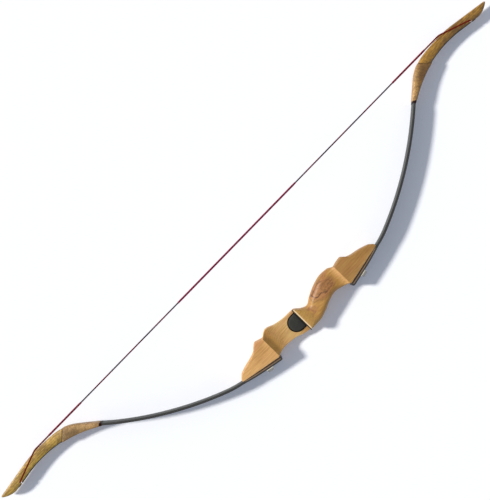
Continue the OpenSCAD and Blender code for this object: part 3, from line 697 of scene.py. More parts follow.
def core_finish(name, stain, pale):
    """Stained wood of core or wedge. Along their joint it is left pale, which shows as a thin line."""
    f = Finish(name)
    s, n, _ = f.parts()
    fibre = f.streaks(1400.0, (0.04, 1.0, 1.0), 4.0, 0.6)
    fallen = f.math("POWER", f.times(s, 1 / (BUTT_LEN * MM)), WEDGE_FADE)
    joint = f.math("SUBTRACT", (GLASS_T + WEDGE_T) * MM, f.times(fallen, WEDGE_T * MM))
    low, high, soft = -0.0011, 0.0008, 0.0003
    band = f.between(f.math("SUBTRACT", n, joint), (low, low + soft), (high - soft, high))
    band = f.times(band, f.span(s, (BUTT_LEN - 8) * MM, (BUTT_LEN - 1) * MM, 1.0, 0.0))
    dark = f.mix(f.span(fibre, 0.4, 0.75), rgba(stain), rgba(stain, 2.2))
    light = f.mix(f.span(fibre, 0.3, 0.7), rgba(pale), rgba(pale, 0.6))
    f.set(Base_Color=f.mix(band, dark, light), Roughness=f.span(fibre, 0.3, 0.75, 0.4, 0.55))
    f.bump(fibre, 0.00003)
    return f.material


def leather_finish(name, light, dark, gloss=0.5, sheen=0.5, tones_and_shading=None):
    """Leather: small cells, dark creases and worn patches. A wrap's is flecked, with painted light and shade.
    """
    f = Finish(name)
    warp = f.vector("MULTIPLY", f.colour_noise(160.0), (0.0012, 0.0012, 0.0012))
    cells = f.add("ShaderNodeTexVoronoi", feature="DISTANCE_TO_EDGE")
    f.feed(cells.inputs["Vector"], f.vector("ADD", f.place, warp))
    cells.inputs["Scale"].default_value = 850.0
    crease = f.span(cells.outputs["Distance"], 0.0, 0.16)
    wear = f.span(f.noise(f.place, 60.0), 0.35, 0.68)
    colour = f.mix(f.times(crease, f.math("MULTIPLY_ADD", wear, 0.6, 0.4)), rgba(dark), rgba(light))
    if tones_and_shading:
        height, near, far = tones_and_shading
        fleck = f.streaks(330.0, (1.0, 0.6, 0.6), 3.0, 0.65)
        colour = f.graded(colour, f.span(fleck, 0.4, 0.6), (1.32, 1.28, 1.22), (0.76, 0.66, 0.50),
                          FLECK_SHARE)
        # Lighter at the belly and darker from a height on: painted light and painted shade.
        _, n, _ = f.parts()
        colour = f.graded(colour, f.span(n, 0.0, height * MM), near, far)
    f.set(Base_Color=colour, Roughness=f.span(wear, 0.0, 1.0, gloss + 0.12, gloss),
          Specular_IOR_Level=sheen)
    f.bump(f.total((crease, 1.0), (wear, 0.4)), 0.00012, 0.6)
    return f.material


def felt_finish(name, light, dark):
    """Short woven pile."""
    f = Finish(name)
    pile = f.noise(f.place, 2600.0, 4.0, 0.75)
    tuft = f.noise(f.place, 420.0, 2.0)
    share = f.times(f.span(pile, 0.3, 0.7), f.span(tuft, 0.25, 0.7, 0.4, 1.0))
    f.set(Base_Color=f.mix(share, rgba(dark), rgba(light)), Roughness=f.span(tuft, 0.3, 0.7, 0.85, 0.97),
          Sheen_Weight=0.12, Sheen_Roughness=0.5)
    f.bump(pile, 0.0003, 0.9)
    return f.material


def metal_finish(name, colour, worn, rough, on_grain=True):
    """Plated or turned metal with fine tool marks and a few dull spots."""
    f = Finish(name, on_grain)
    marks = f.noise(f.place, 1400.0, 3.0, 0.6)
    spots = f.span(f.noise(f.place, 210.0, 3.0, 0.65), 0.52, 0.7)
    f.set(Base_Color=f.mix(f.times(spots, 0.6), rgba(colour), rgba(worn)), Metallic=1.0,
          Roughness=f.total((f.span(marks, 0.3, 0.7, rough - 0.04, rough + 0.06), 1.0), (spots, 0.14)))
    f.bump(marks, 0.00001)
    return f.material


def black_finish(name, colour, worn):
    """Hard black butt material, a little scuffed, for solids that keep no grain."""
    f = Finish(name, on_grain=False)
    scuff = f.span(f.noise(f.place, 320.0, 4.0, 0.7), 0.5, 0.74)
    cloud = f.noise(f.place, 60.0, 2.0)
    share = f.total((scuff, 0.5), (f.span(cloud, 0.4, 0.7), 0.25))
    f.set(Base_Color=f.mix(share, rgba(colour), rgba(worn)), Roughness=f.span(scuff, 0.0, 1.0, 0.3, 0.5))
    f.bump(scuff, 0.00003, 0.4)
    return f.material


def thread_finish(name, light, dark, pitch, lean=0.12):
    """Thread wound close round a cord: its grain runs along the cord and round it."""
    f = Finish(name)
    along, about, _ = f.parts()
    run = f.math("MULTIPLY_ADD", about, lean, along)
    ridge = f.span(f.math("SINE", f.times(run, 2 * pi / pitch)), -1.0, 0.7)
    fuzz = f.streaks(2400.0, (1.0, 0.4, 0.4), 2.0, 0.7)
    patch = f.span(f.streaks(65.0, (1.0, 0.2, 0.2)), 0.3, 0.7, 0.6, 1.0)
    share = f.times(ridge, f.math("MULTIPLY_ADD", f.span(fuzz, 0.3, 0.7), 0.35, 0.65), patch)
    f.set(Base_Color=f.mix(share, rgba(dark), rgba(light)), Roughness=f.span(fuzz, 0.3, 0.7, 0.5, 0.65),
          Specular_IOR_Level=0.1)
    f.bump(f.total((ridge, 1.0), (fuzz, 0.25)), 0.00012, 0.7)
    return f.material


def strand_finish(name, light, dark):
    """One colour of the waxed strands of the string."""
    f = Finish(name)
    fibre = f.streaks(5200.0, (0.08, 1.0, 1.0), 3.0, 0.7)
    wax = f.noise(f.place, 95.0)
    share = f.times(f.span(fibre, 0.3, 0.7), f.span(wax, 0.3, 0.7, 0.55, 1.0))
    f.set(Base_Color=f.mix(share, rgba(dark), rgba(light)), Roughness=f.span(wax, 0.3, 0.7, 0.5, 0.65),
          Specular_IOR_Level=0.1)
    f.bump(fibre, 0.00005, 0.6)
    return f.material


# What a user would change.
def shade(name, default, description):
    """A colour that a user can change, as sRGB."""
    return FloatVectorProperty(name=name, description=description, default=default, size=3, min=0.0,
                               max=1.0, subtype="COLOR_GAMMA")


def length(name, default, description):
    """A length that a user can change, in metres."""
    return FloatProperty(name=name, description=description, default=default, min=0.0, unit="LENGTH",
                         subtype="DISTANCE", precision=5)


class BowEdges(bpy.types.PropertyGroup):
    """How far the crisp edges of the pieces are eased"""
    window: length("Window edge", 0.0017, "Radius of the edges round the sight window")
    pad: length("Pad edge", 0.0006, "Radius of the edges round the limb pads and the side it lies on")
    shelf: length("Shelf edge", 0.0026, "Radius of the outer edge of the arrow shelf")
    glass: length("Glass edge", 0.0005, "Radius of the outer edges of the glass")
    tip: length("Tip edge", 0.0032, "Radius of the belly edges of a rigid tip")
    tip_back: length("Tip back edge", 0.0020, "Radius of the back edges of a rigid tip")
    plate: length("Plate edge", 0.0006, "Radius of the edge of the strike plate")
    tip_crown: FloatProperty(
        name="Tip crown", description="Share by which the sides of a tip fall away to its back",
        default=0.2, min=0.0, max=0.3, subtype="FACTOR")


class BowWoods(bpy.types.PropertyGroup):
    """Colours and ring width of the woods"""
    riser_light: shade("Riser, light", (0.87, 0.675, 0.42), "Colour of the riser's early wood")
    riser_dark: shade("Riser, dark", (0.64, 0.445, 0.20), "Colour of the riser's late wood")
    # The riser's pale edges are partly wear and partly a painted highlight.
    riser_worn_lit_edge: shade("Riser, worn and lit edges", (0.95, 0.82, 0.62), "Colour of the riser's worn edges, with a painted highlight")
    # The shelf rim is a painted highlight on the shelf's rounded edge.
    rim: shade("Shelf highlight", (0.88, 0.76, 0.58), "Colour of the painted highlight on the arrow shelf's edge")
    heart: shade("Knot, heart", (0.70, 0.47, 0.36), "Colour of the wood inside the knots")
    bark: shade("Knot, rings", (0.36, 0.20, 0.10), "Colour of the dark rings round the knots")
    blush: shade("Blush", (0.84, 0.52, 0.46), "Colour of the reddish wood beside the knots")
    ruddy: shade("Riser, streaks", (0.80, 0.55, 0.36), "Colour of the reddish streaks in the riser")
    tip_light: shade("Tip, light", (0.80, 0.66, 0.38), "Colour of the tips' early wood")
    tip_dark: shade("Tip, dark", (0.44, 0.33, 0.12), "Colour of the tips' late wood")
    # The tips' pale edges are partly wear and partly a painted highlight.
    tip_worn: shade("Tip, worn", (0.98, 0.76, 0.56), "Colour of the tips where their edges are worn")
    stain: shade("Tip root", (0.10, 0.09, 0.085), "Colour of the stained wood where a tip is spliced on")
    wedge: shade("Wedge", (0.20, 0.125, 0.06), "Colour of the butt wedges")
    rings: length("Ring spacing", 0.0036, "Distance between two growth rings of the riser")


class BowLimbs(bpy.types.PropertyGroup):
    """Colours of the limbs, wraps and fittings"""
    glass_face: shade("Glass threads", (0.36, 0.37, 0.355), "Colour of the threads in the glass's faces")
    glass_resin: shade("Glass resin", (0.21, 0.215, 0.21), "Colour of the resin between those threads")
    edge_speck: shade("Edge specks", (0.26, 0.26, 0.25), "Colour of the threads at the glass's edges")
    edge_resin: shade("Edge resin", (0.06, 0.065, 0.065), "Colour of the edges of the glass")
    core: shade("Core", (0.06, 0.06, 0.06), "Colour of the stained core")
    stringer: shade("Pale line", (0.57, 0.45, 0.32), "Colour of the pale line between wedge and core")
    wrap_light: shade("Wrap, light", (0.77, 0.62, 0.42), "Colour of the leather wrap where it is worn")
    wrap_dark: shade("Wrap, dark", (0.45, 0.33, 0.20), "Colour of the leather wrap in its creases")
    band: shade("Thread band", (0.22, 0.10, 0.09), "Colour of the thread that binds the ends of a wrap")
    outer_band: shade("Outer band", (0.62, 0.47, 0.29), "Colour of the thread at the outer end of a wrap")
    plate: shade("Strike plate", (0.10, 0.10, 0.075), "Colour of the leather strike plate")
    rug: shade("Rug", (0.085, 0.06, 0.045), "Colour of the rug on the arrow shelf")
    nickel: shade("Washers", (0.87, 0.84, 0.77), "Colour of the plated washers")
    head: shade("Bolts", (0.56, 0.56, 0.56), "Colour of the dull bolts")


class BowString(bpy.types.PropertyGroup):
    """Colours and lay of the string"""
    grey: shade("Grey strands", (0.27, 0.21, 0.20), "Colour of half of the strands")
    maroon: shade("Maroon strands", (0.50, 0.05, 0.12), "Colour of the other half of the strands")
    serving: shade("Serving", (0.63, 0.06, 0.26), "Colour of the centre serving")
    end_serving: shade("End serving", (0.60, 0.11, 0.23), "Colour of the end servings")
    loop: shade("Loop serving", (0.56, 0.11, 0.02), "Colour of the served loops")
    lay: length("Lay", 0.088, "Length of one turn of the strands")
    thread: length("Serving thread", 0.00055, "Width of the thread the string is served with")
    strands: IntProperty(name="Strands", description="Number of strands that show round the string",
                         default=12, min=6, max=24)


class BowStage(bpy.types.PropertyGroup):
    """Floor and light"""
    floor: shade("Floor", (0.975, 0.975, 0.98), "Colour of the floor")
    glow: shade("Floor glow", (0.325, 0.345, 0.40), "Light that the camera alone sees from the floor")
    sky: shade("Fill light", (0.91, 0.945, 1.0), "Colour of the light from all round")
    fill: FloatProperty(name="Fill strength", description="Strength of the light from all round",
                        default=0.32, min=0.0)
    key: FloatProperty(name="Key strength", description="Strength of the lamp", default=3.55, min=0.0)
    key_height: FloatProperty(name="Key height", description="Angle of the lamp above the floor",
                              default=radians(39), subtype="ANGLE")
    softness: FloatProperty(name="Key softness", description="Angle the lamp fills, which softens shadows",
                            default=radians(8), subtype="ANGLE")


class BowSettings(bpy.types.PropertyGroup):
    """All settings of the bow"""
    edges: PointerProperty(type=BowEdges)
    woods: PointerProperty(type=BowWoods)
    limbs: PointerProperty(type=BowLimbs)
    string: PointerProperty(type=BowString)
    stage: PointerProperty(type=BowStage)


def settings():
    """What the user has set, or the defaults."""
    return bpy.context.scene.bow


def body_name(side, part):
    """The name of a part's body, on the upper or the lower limb where it has one on each."""
    return part if part == "riser_assembly" else f"{SIDE_NAME[side]}_{part}"


def dress(piece, slot, *nodes):
    """Hides the solids that a piece stands for. The slot is not used."""
    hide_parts(*nodes)
    return piece


def cut_away(piece, cutter):
    """Takes a cutter's shape out of a piece for good."""
    cut = piece.modifiers.new("cut", "BOOLEAN")
    cut.operation, cut.object, cut.solver = "DIFFERENCE", cutter, "EXACT"
    evaluated = piece.evaluated_get(bpy.context.evaluated_depsgraph_get())
    result = bpy.data.meshes.new_from_object(evaluated)
    piece.modifiers.clear()
    old, piece.data = piece.data, result
    bpy.data.meshes.remove(old)
    piece.data.name = piece.name
    piece.data.polygons.foreach_set("use_smooth", [True] * len(piece.data.polygons))
    piece.data.set_sharp_from_angle(angle=radians(32))
    cutter_mesh = cutter.data
    bpy.data.objects.remove(cutter)
    bpy.data.meshes.remove(cutter_mesh)


class BOW_OT_riser(bpy.types.Operator):
    """Shape the riser: limb blocks, grip, arrow shelf and sight window"""
    bl_idname = "bow.riser"
    bl_label = "Riser"

    def execute(self, context):
        s = settings()
        pad, cuts = s.edges.pad / MM, self.cuts(s.edges)
        points = [(x, y, z) for x, z_top, edge in cuts for y, z in riser_section(x, z_top, edge, pad)]
        around = len(points) // len(cuts)
        finish = riser_finish(s.woods, s.edges.shelf / MM)
        piece = build_piece("riser", points, loft_faces(len(cuts), around), finish, welded=True, smooth=19)
        keep_edge_bend(piece)
        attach(dress(piece, "riser_wood", "riser"), "riser_assembly")
        return {"FINISHED"}

    def cuts(self, edges):
        """Places along the riser, each with the height its section is cut to, and the edge it has there."""
        window, pad, shelf = edges.window / MM, edges.pad / MM, edges.shelf / MM
        step, fine, uncut, turns = 1.3, 0.4, 99.0, 8
        block = evenly(-FADE_X, RIDGE_X, step) + evenly(RIDGE_X + 1, RIDGE_X + RIDGE_SLOPE, 1.0)
        grip = evenly(RIDGE_X + RIDGE_SLOPE + step, SHELF_X - shelf, step)
        found = [(x, uncut, pad) for x in block + grip]
        for k in range(1, turns + 1):
            a = radians(90 * k / turns)
            found.append((SHELF_X - shelf * (1 - sin(a)), RISER_W - shelf * (1 - cos(a)), pad))
        near, past, cut_to = CREST_X - 9, CREST_X + 6, CREST_X + 3
        window_run = evenly(SHELF_X, near, step) + evenly(near + fine, past, fine)
        for x in window_run + evenly(past + 1, FADE_X, step):
            found.append((x, window_height(x), window) if x <= cut_to else (x, uncut, pad))
        return found


class BOW_OT_shelf(bpy.types.Operator):
    """Lay the strike plate in the window and the rug on the arrow shelf"""
    bl_idname = "bow.shelf"
    bl_label = "Strike plate and rug"

    def execute(self, context):
        s = settings()
        self.strike_plate(s)
        self.rug(s)
        return {"FINISHED"}

    def strike_plate(self, s):
        """A leather D whose edge is eased, with a groove just inside it; edge and groove are darkened as a
        painted shadow.
        """
        edge = s.edges.plate / MM
        half, x0, steps = PLATE_W / 2, SHELF_X + RUG_T + SEAT_GAP, 40
        bow = [(x0 + PLATE_H - half + half * sin(pi * k / steps), -half * cos(pi * k / steps))
               for k in range(steps + 1)]
        outline = [(x0, -half)] + bow + [(x0, half)]
        centre_x = x0 + PLATE_H * 0.45

        def level(inset, z):
            """The outline drawn in by an inset, at a height."""
            ring = []
            for x, y in outline:
                share = inset / hypot(x - centre_x, y)
                ring.append((x - (x - centre_x) * share, PLATE_Y + y - y * share, z))
            return ring

        top = WINDOW_Z + PLATE_T
        rows = [level(0, WINDOW_Z)]
        for k in range(4):
            a = radians(90 * k / 3)
            rows.append(level(edge * (1 - cos(a)), top - edge * (1 - sin(a))))
        groove = ((1.5, 0.0), (1.8, 0.25), (2.3, 0.25), (2.7, 0.02), (8.0, 0.02))
        rows += [level(inset, top - depth) for inset, depth in groove]
        around = len(outline)
        faces = loft_faces(len(rows), around)
        # The faces from the underside up to the groove's inner slope are darker, with less sheen: a painted
        # shadow round the plate's edge.
        painted_edge_shadow = len(rows) - 3
        tint = [1 if i // around < painted_edge_shadow else 0 for i in range(len(faces))]
        leather = s.limbs.plate
        finishes = [leather_finish("strike leather", leather, darker(leather, 0.72), 0.55, 0.4),
                    # The second finish paints the shadow along the plate's edge.
                    leather_finish("burnished rim", darker(leather, 0.4), darker(leather, 0.2), 0.42, 0.05)]
        points = [p for row in rows for p in row]
        piece = build_piece("strike_plate", points, faces, finishes, face_finish=tint, welded=True)
        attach(dress(piece, "strike_leather", "strike_plate"), "riser_assembly")

    def rug(self, s):
        """A strip of felt with rounded corners, a soft edge and an uneven pile."""
        y0, y1 = curve(BELLY_LINE, SHELF_X) - RUG_EDGE, curve(BACK_LINE, SHELF_X) + RUG_EDGE
        z0, z1 = WINDOW_Z + PLATE_T + STRING_GAP, RISER_W - RUG_EDGE
        corner, steps, spacing = 2.4, 6, 1.2
        rim = []
        for cy, cz, first in ((y1 - corner, z1 - corner, 0), (y0 + corner, z1 - corner, 90),
                              (y0 + corner, z0 + corner, 180), (y1 - corner, z0 + corner, 270)):
            turns = [radians(first + 90 * k / steps) for k in range(steps + 1)]
            rim += [(cy + corner * cos(a), cz + corner * sin(a)) for a in turns]
        dense = []
        for (ya, za), (yb, zb) in zip(rim, rim[1:] + rim[:1]):
            count = max(1, round(hypot(yb - ya, zb - za) / spacing))
            dense += [(ya + (yb - ya) * i / count, za + (zb - za) * i / count) for i in range(count)]
        middle = ((y0 + y1) / 2, (z0 + z1) / 2)
        # How far in from the rim, and how high over the shelf, each ring of the pile lies.
        levels = ((0, 0), (0, 1.2), (0.1, 1.6), (0.35, 1.95), (0.8, 2.14), (2.0, 2.18), (4.0, 2.16),
                  (7.0, 2.17))
        tufts, sunk = 0.12, 0.06
        points = []
        for inset, height in levels:
            for y, z in dense:
                y2 = y - (1 if y > middle[0] else -1) * min(inset, abs(y - middle[0]))
                z2 = z - (1 if z > middle[1] else -1) * min(inset, abs(z - middle[1]))
                rough = tufts * noise.noise(Vector((y2 * 0.9, z2 * 0.9, height * 3.0))) if height else 0.0
                points.append((SHELF_X + min(RUG_T, max(0.0, height - sunk + rough)), y2, z2))
        finish = felt_finish("rug felt", s.limbs.rug, darker(s.limbs.rug, 0.5))
        faces = loft_faces(len(levels), len(dense))
        piece = build_piece("shelf_rug", points, faces, finish, welded=True, smooth=60)
        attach(dress(piece, "rug_felt", "shelf_rug"), "riser_assembly")


def lamination_rings(places, lo, hi, r_lo, r_hi):
    """Rings of a lamination: each place is (distance along the limb, pose, offset added to both faces)."""
    points, grain, section = [], [], []
    for s, pose, shift in places:
        low, high = lo(min(s, LIMB_END)) + shift, hi(min(s, LIMB_END)) + shift
        middle = beside(pose, (low + high) / 2)
        section = rounded_box(low, high, half_width(middle[0]), r_lo, r_hi)
        for n, z in section:
            x, y = beside(pose, n)
            points.append((x, y, MID_Z + z))
            grain.append((s, n, z))
    # The faces of a lamination are finish 0, and its edges and ends are finish 1.
    turned = section[1:] + section[:1]
    kinds = [1 if abs(b[0] - a[0]) > abs(b[1] - a[1]) else 0 for a, b in zip(section, turned)]
    return points, grain, len(section), kinds * (len(places) - 1) + [1, 1]


class BOW_OT_limbs(bpy.types.Operator):
    """Lay up the limbs: belly glass, butt wedge, core and back glass"""
    bl_idname = "bow.limbs"
    bl_label = "Limbs"

    def execute(self, context):
        s = settings()
        edge = s.edges.glass / MM
        glass = [glass_finish("limb glass", s.limbs.glass_face, s.limbs.glass_resin),
                 glass_finish("glass edge", s.limbs.edge_speck, s.limbs.edge_resin, 0.44, 0.3, 0.3)]
        core = [core_finish("stained core", s.limbs.core, s.limbs.stringer)]
        wedge = core_finish("wedge wood", s.woods.wedge, s.limbs.stringer)
        layers = (("belly_glass", glass, "limb_glass", lambda d: 0.0, lambda d: GLASS_T, edge, 0.0),
                  ("core", core, "limb_core", core_from, back_from, 0.0, 0.0),
                  ("back_glass", glass, "limb_glass", back_from, limb_t, 0.0, edge))
        for side in (UPPER, LOWER):
            for layer in layers:
                for span in range(FLEX_COUNT):
                    self.lay(side, span, *layer)
            self.wedge(side, wedge)
        return {"FINISHED"}

    def lay(self, side, span, layer, finishes, slot, lo, hi, r_lo, r_hi):
        """One span of a lamination, which bends over its length. The last one's glass runs over the tip."""
        name, last, step, tip_step = SIDE_NAME[side], span == FLEX_COUNT - 1, 4.0, 3.0
        start = 0.0 if span == 0 else SPANS[span]
        places = [(d, limb_pose(d), 0.0) for d in evenly(start, SPANS[span + 1], step)]
        nodes = {0: [f"{name}_root_{layer}"], 1: [f"{name}_inner_{layer}", f"{name}_mid_{layer}"],
                 2: [f"{name}_outer_{layer}"]}[span]
        if last and layer == "belly_glass":
            places += [(LIMB_END + d, tip_belly(d), 0.0) for d in evenly(tip_step, GLASS_OVER, tip_step)]
        over_tip = last and layer == "back_glass"
        if over_tip:
            shift = -limb_t(LIMB_END)
            places += [(LIMB_END + d, tip_back(d), shift) for d in evenly(tip_step, TIP_BACK_LEN, tip_step)]
            nodes = [f"{name}_tip_back_glass"]
        points, grain, around, kinds = lamination_rings(places, lo, hi, r_lo, r_hi)
        if layer == "back_glass":
            crown = settings().edges.tip_crown
            points = [(x, y, MID_Z + (z - MID_Z) * (1 - crown_at(x, crown))) for x, y, z in points]
        faces = loft_faces(len(places), around)
        piece = build_piece(f"{name}_{layer}_{span + 1}", points, faces, finishes, side, grain,
                            kinds if len(finishes) > 1 else None)
        if over_tip:
            cut_away(piece, nock_cutter(side))
        dress(piece, slot, *nodes)
        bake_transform(piece)

    def wedge(self, side, finish):
        """The wood between belly glass and core, which runs out to nothing at the end of the pad."""
        name = SIDE_NAME[side]
        places = [(d, limb_pose(d), 0.0) for d in evenly(0.0, BUTT_LEN - 1.0, 5.0)]
        points, grain, around, _ = lamination_rings(places, lambda d: GLASS_T, core_from, 0.0, 0.0)
        piece = build_piece(f"{name}_wedge", points, loft_faces(len(places), around), finish, side, grain)
        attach(dress(piece, "wedge_wood", f"{name}_root_wedge"), "riser_assembly")


def nock_cutter(side):
    """A slot with a round bottom and slightly flared sides, leaning towards the point."""
    lean, half = radians(TIP_ANGLE - NOCK_LEAN), TIP_W / 2
    depth, steps = 3 * NOCK_DEPTH, 24
    outline = [(NOCK_R, depth), (-NOCK_R, depth)]
    outline += [(-NOCK_R * cos(pi * k / steps), -NOCK_R * sin(pi * k / steps)) for k in range(steps + 1)]
    outline = [(x * cos(lean) - y * sin(lean), x * sin(lean) + y * cos(lean)) for x, y in outline]
    # Heights from the tip's middle, each with how much wider than itself the slot is there.
    levels = ((-TIP_W, 1.6), (-half - 0.2, 1.28), (-half + 1.0, 1.0),
              (half - 1.0, 1.0), (half + 0.2, 1.28), (TIP_W, 1.6))
    points = [(NOCK[0] + x * spread, NOCK[1] + y * spread, MID_Z + z)
              for z, spread in levels for x, y in outline]
    finish = bpy.data.materials.new("cutter")
    faces = loft_faces(len(levels), len(outline))
    cutter = build_piece("nock_cutter", points, faces, finish, side, welded=True)
    cutter.hide_render = True
    return cutter


def on_nose(turn):
    """A point on the small nose that ends a tip, after a turn from the end of the belly."""
    end = tip_belly(TIP_BELLY_LEN)
    centre, angle = beside(end, NOSE_R), radians(end[2] + turn)
    return centre[0] + NOSE_R * sin(angle), centre[1] - NOSE_R * cos(angle)


def crown_turn(target):
    """The turn of the arc that leaves the straight back smoothly and ends at a target."""
    start = tip_back(TIP_BACK_LEN)
    return 2 * (degrees(atan2(target[1] - start[1], target[0] - start[0])) - start[2])


def point_curve():
    """The turn of the nose, and the arc that runs smoothly into it from the end of the straight back."""
    nose_turn = 120.0
    for _ in range(6):
        nose_turn = 180 + crown_turn(on_nose(nose_turn))
    start, end = tip_back(TIP_BACK_LEN), on_nose(nose_turn)
    turn = crown_turn(end)
    reach = hypot(end[0] - start[0], end[1] - start[1])
    whole = reach * radians(turn) / 2 / sin(radians(turn) / 2)
    return nose_turn, lambda share: arc_end(start, whole * share, turn * share)


class BOW_OT_tips(bpy.types.Operator):
    """Carve the rigid tips with their string bridge, nock and rounded point"""
    bl_idname = "bow.tips"
    bl_label = "Tips"
    # Distances along the belly and along the back that one section joins.
    last_pair = 247.0
    pairs = ((0.0, 0.0), (LANDING_AT, BACK_AT_LANDING), (LANDING_AT + 21, HEEL_LEN + SWEEP_LEN),
             (last_pair, TIP_BACK_LEN))

    def execute(self, context):
        s = settings()
        stained_to = beside(tip_back(WRAP_FROM - BAND_LEN / 2), -limb_t(LIMB_END) / 2)[0] * MM
        for side in (UPPER, LOWER):
            self.tip(side, tip_finish(side, s.woods, stained_to), s.edges)
        return {"FINISHED"}

    def sections(self):
        """Pairs of a belly and a back point, with a belly inset where the belly glass lies."""
        found = []
        spacing, crown_steps, crowding, nose_steps, short_of = 2.5, 20, 1.6, 7, 0.97
        for (b0, k0), (b1, k1) in zip(self.pairs, self.pairs[1:]):
            count = max(2, round((b1 - b0) / spacing))
            for i in range(count):
                belly, back = b0 + (b1 - b0) * i / count, k0 + (k1 - k0) * i / count
                inset = GLASS_T if belly <= GLASS_OVER else 0.0
                found.append((beside(tip_belly(belly), inset), beside(tip_back(back), -GLASS_T)))
        nose_turn, crown = point_curve()
        for i in range(crown_steps + 1):
            share = 1 - (1 - i / crown_steps) ** crowding
            low = tip_belly(self.last_pair + (TIP_BELLY_LEN - self.last_pair) * share)[:2]
            found.append((low, beside(crown(share), -GLASS_T * (1 - min(1.0, 4 * share)))))
        for i in range(1, nose_steps + 1):
            turn = nose_turn / 2 * i / nose_steps * short_of
            found.append((on_nose(turn), on_nose(nose_turn - turn)))
        return found

    def tip(self, side, finish, edges):
        """One tip, from its splice to its point, with the nock cut."""
        name = SIDE_NAME[side]
        rows, points = self.sections(), []
        for low, back in rows:
            up = Vector((back[0] - low[0], back[1] - low[1]))
            tall, x = max(0.04, up.length), (low[0] + back[0]) / 2
            up = up.normalized()
            belly_edge, back_edge = min(edges.tip / MM, 0.4 * tall), min(edges.tip_back / MM, 0.2 * tall)
            section = crowned_box(tall, half_width(x), belly_edge, back_edge, crown_at(x, edges.tip_crown))
            points += [(low[0] + up.x * n, low[1] + up.y * n, MID_Z + z) for n, z in section]
        around = len(points) // len(rows)
        piece = build_piece(f"{name}_tip", points, loft_faces(len(rows), around), finish, side, welded=True)
        cut_away(piece, nock_cutter(side))
        keep_grain(piece.data)
        keep_edge_bend(piece)
        self.keep_across(piece, rows, side)
        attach(dress(piece, "tip_wood", f"{name}_tip"), body_name(side, "limb_outer"))

    def keep_across(self, piece, rows, side):
        """Stores how far each point lies from the belly to the back, as a share of the depth there."""
        ends = [(Vector(low), Vector(back)) for low, back in rows]
        shares = []
        for v in piece.data.vertices:
            p = Vector((side * v.co.x / MM, v.co.y / MM))
            nearest, found = inf, 0.0
            for low, back in ends:
                line = back - low
                share = min(1.0, max(0.0, (p - low).dot(line) / max(1e-9, line.length_squared)))
                off = (p - low - line * share).length_squared
                if off < nearest:
                    nearest, found = off, share
            shares.append(found)
        stored = piece.data.attributes.new("across", "FLOAT", "POINT")
        stored.data.foreach_set("value", shares)


def sleeve_ring(at, grow, edge, crown):
    """A ring round the spliced tip at a distance along its back, and the grain at each of its points."""
    belly, back = tip_belly(at * LANDING_AT / BACK_AT_LANDING), tip_back(at)
    low, high = beside(belly, -grow), beside(back, grow)
    up = Vector((high[0] - low[0], high[1] - low[1]))
    half = half_width((low[0] + high[0]) / 2) + grow
    section = crowned_box(up.length, half, 1.5 * edge, edge, crown)
    up = up.normalized()
    ring = [(low[0] + up.x * n, low[1] + up.y * n, MID_Z + z) for n, z in section]
    return ring, [(at, n, z) for n, z in section]


def sleeve(name, side, profile, finish):
    """A closed sleeve whose outer height follows a profile of (distance, height), with a plain inside."""
    crown, inner_edge = 0.05, 0.4
    rings = [sleeve_ring(at, height, 0.9 + 0.7 * height, crown) for at, height in profile]
    rings += [sleeve_ring(at, SLEEVE_GAP, inner_edge, 0.0) for at, _ in reversed(profile)]
    points = [p for ring, _ in rings for p in ring]
    grain = [g for _, lay in rings for g in lay]
    faces = loft_faces(len(rings), len(points) // len(rings), joined=True)
    return build_piece(name, points, faces, finish, side, grain, smooth=45)


class BOW_OT_wraps(bpy.types.Operator):
    """Wrap each splice in leather and bind both ends with thread"""
    bl_idname = "bow.wraps"
    bl_label = "Wraps"
    # The distance from one turn of thread to the next, in millimetres.
    pitch = 0.6

    def execute(self, context):
        s = settings().limbs
        threads = [thread_finish(name, colour, darker(colour, 0.45), self.pitch * MM, 0.02)
                   for name, colour in (("band thread", s.band), ("outer band thread", s.outer_band))]
        for side in (UPPER, LOWER):
            leather = leather_finish(f"{SIDE_NAME[side]} wrap leather", s.wrap_light, s.wrap_dark,
                                     tones_and_shading=WRAP_TONES_AND_SHADING[side])
            self.wrap(side, leather)
            self.bands(side, threads)
        return {"FINISHED"}

    def wrap(self, side, leather):
        """A slightly lumpy sleeve, whose ends are pared down."""
        step, pared, lump, allowance = 2.0, 0.5, 0.1, 0.12
        profile = []
        for at in evenly(WRAP_FROM, WRAP_FROM + WRAP_LEN, step):
            full = min(1.0, min(at - WRAP_FROM, WRAP_FROM + WRAP_LEN - at) / step)
            lumps = lump * noise.noise(Vector((at * 0.11, side * 3.0, 0.0)))
            profile.append((at, WRAP_T - allowance - pared * (1 - full) ** 2 + lumps))
        name = f"{SIDE_NAME[side]}_wrap"
        piece = sleeve(name, side, profile, leather)
        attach(dress(piece, "wrap_leather", name), body_name(side, "limb_outer"))

    def bands(self, side, threads):
        """Turns of thread at both ends of the wrap. Both are one node, which the first of them replaces."""
        name, relief, per_turn = SIDE_NAME[side], 0.22, 4
        outer = WRAP_FROM + WRAP_LEN + BAND_GAP
        spans = ((WRAP_FROM - BAND_LEN, WRAP_FROM - BAND_GAP), (outer, outer + BAND_LEN / 4))
        for k, (start, end) in enumerate(spans):
            steps = per_turn * max(2, round((end - start) / self.pitch))
            profile = [(start + (end - start) * i / steps, BAND_T - relief * cos(pi * i / per_turn) ** 2)
                       for i in range(steps + 1)]
            band = sleeve(f"{name}_thread_band_{k + 1}", side, profile, threads[k])
            if k == 0:
                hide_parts(f"{name}_thread_bands")
            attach(band, body_name(side, "limb_outer"))


def on_pad(x, out, z):
    """A point in the frame of a limb bolt: x along the limb, out of the pad, and z across the limb."""
    a = radians(BOLT_POSE[2])
    return (BOLT_POSE[0] + x * cos(a) - out * sin(a), BOLT_POSE[1] + x * sin(a) + out * cos(a), MID_Z + z)


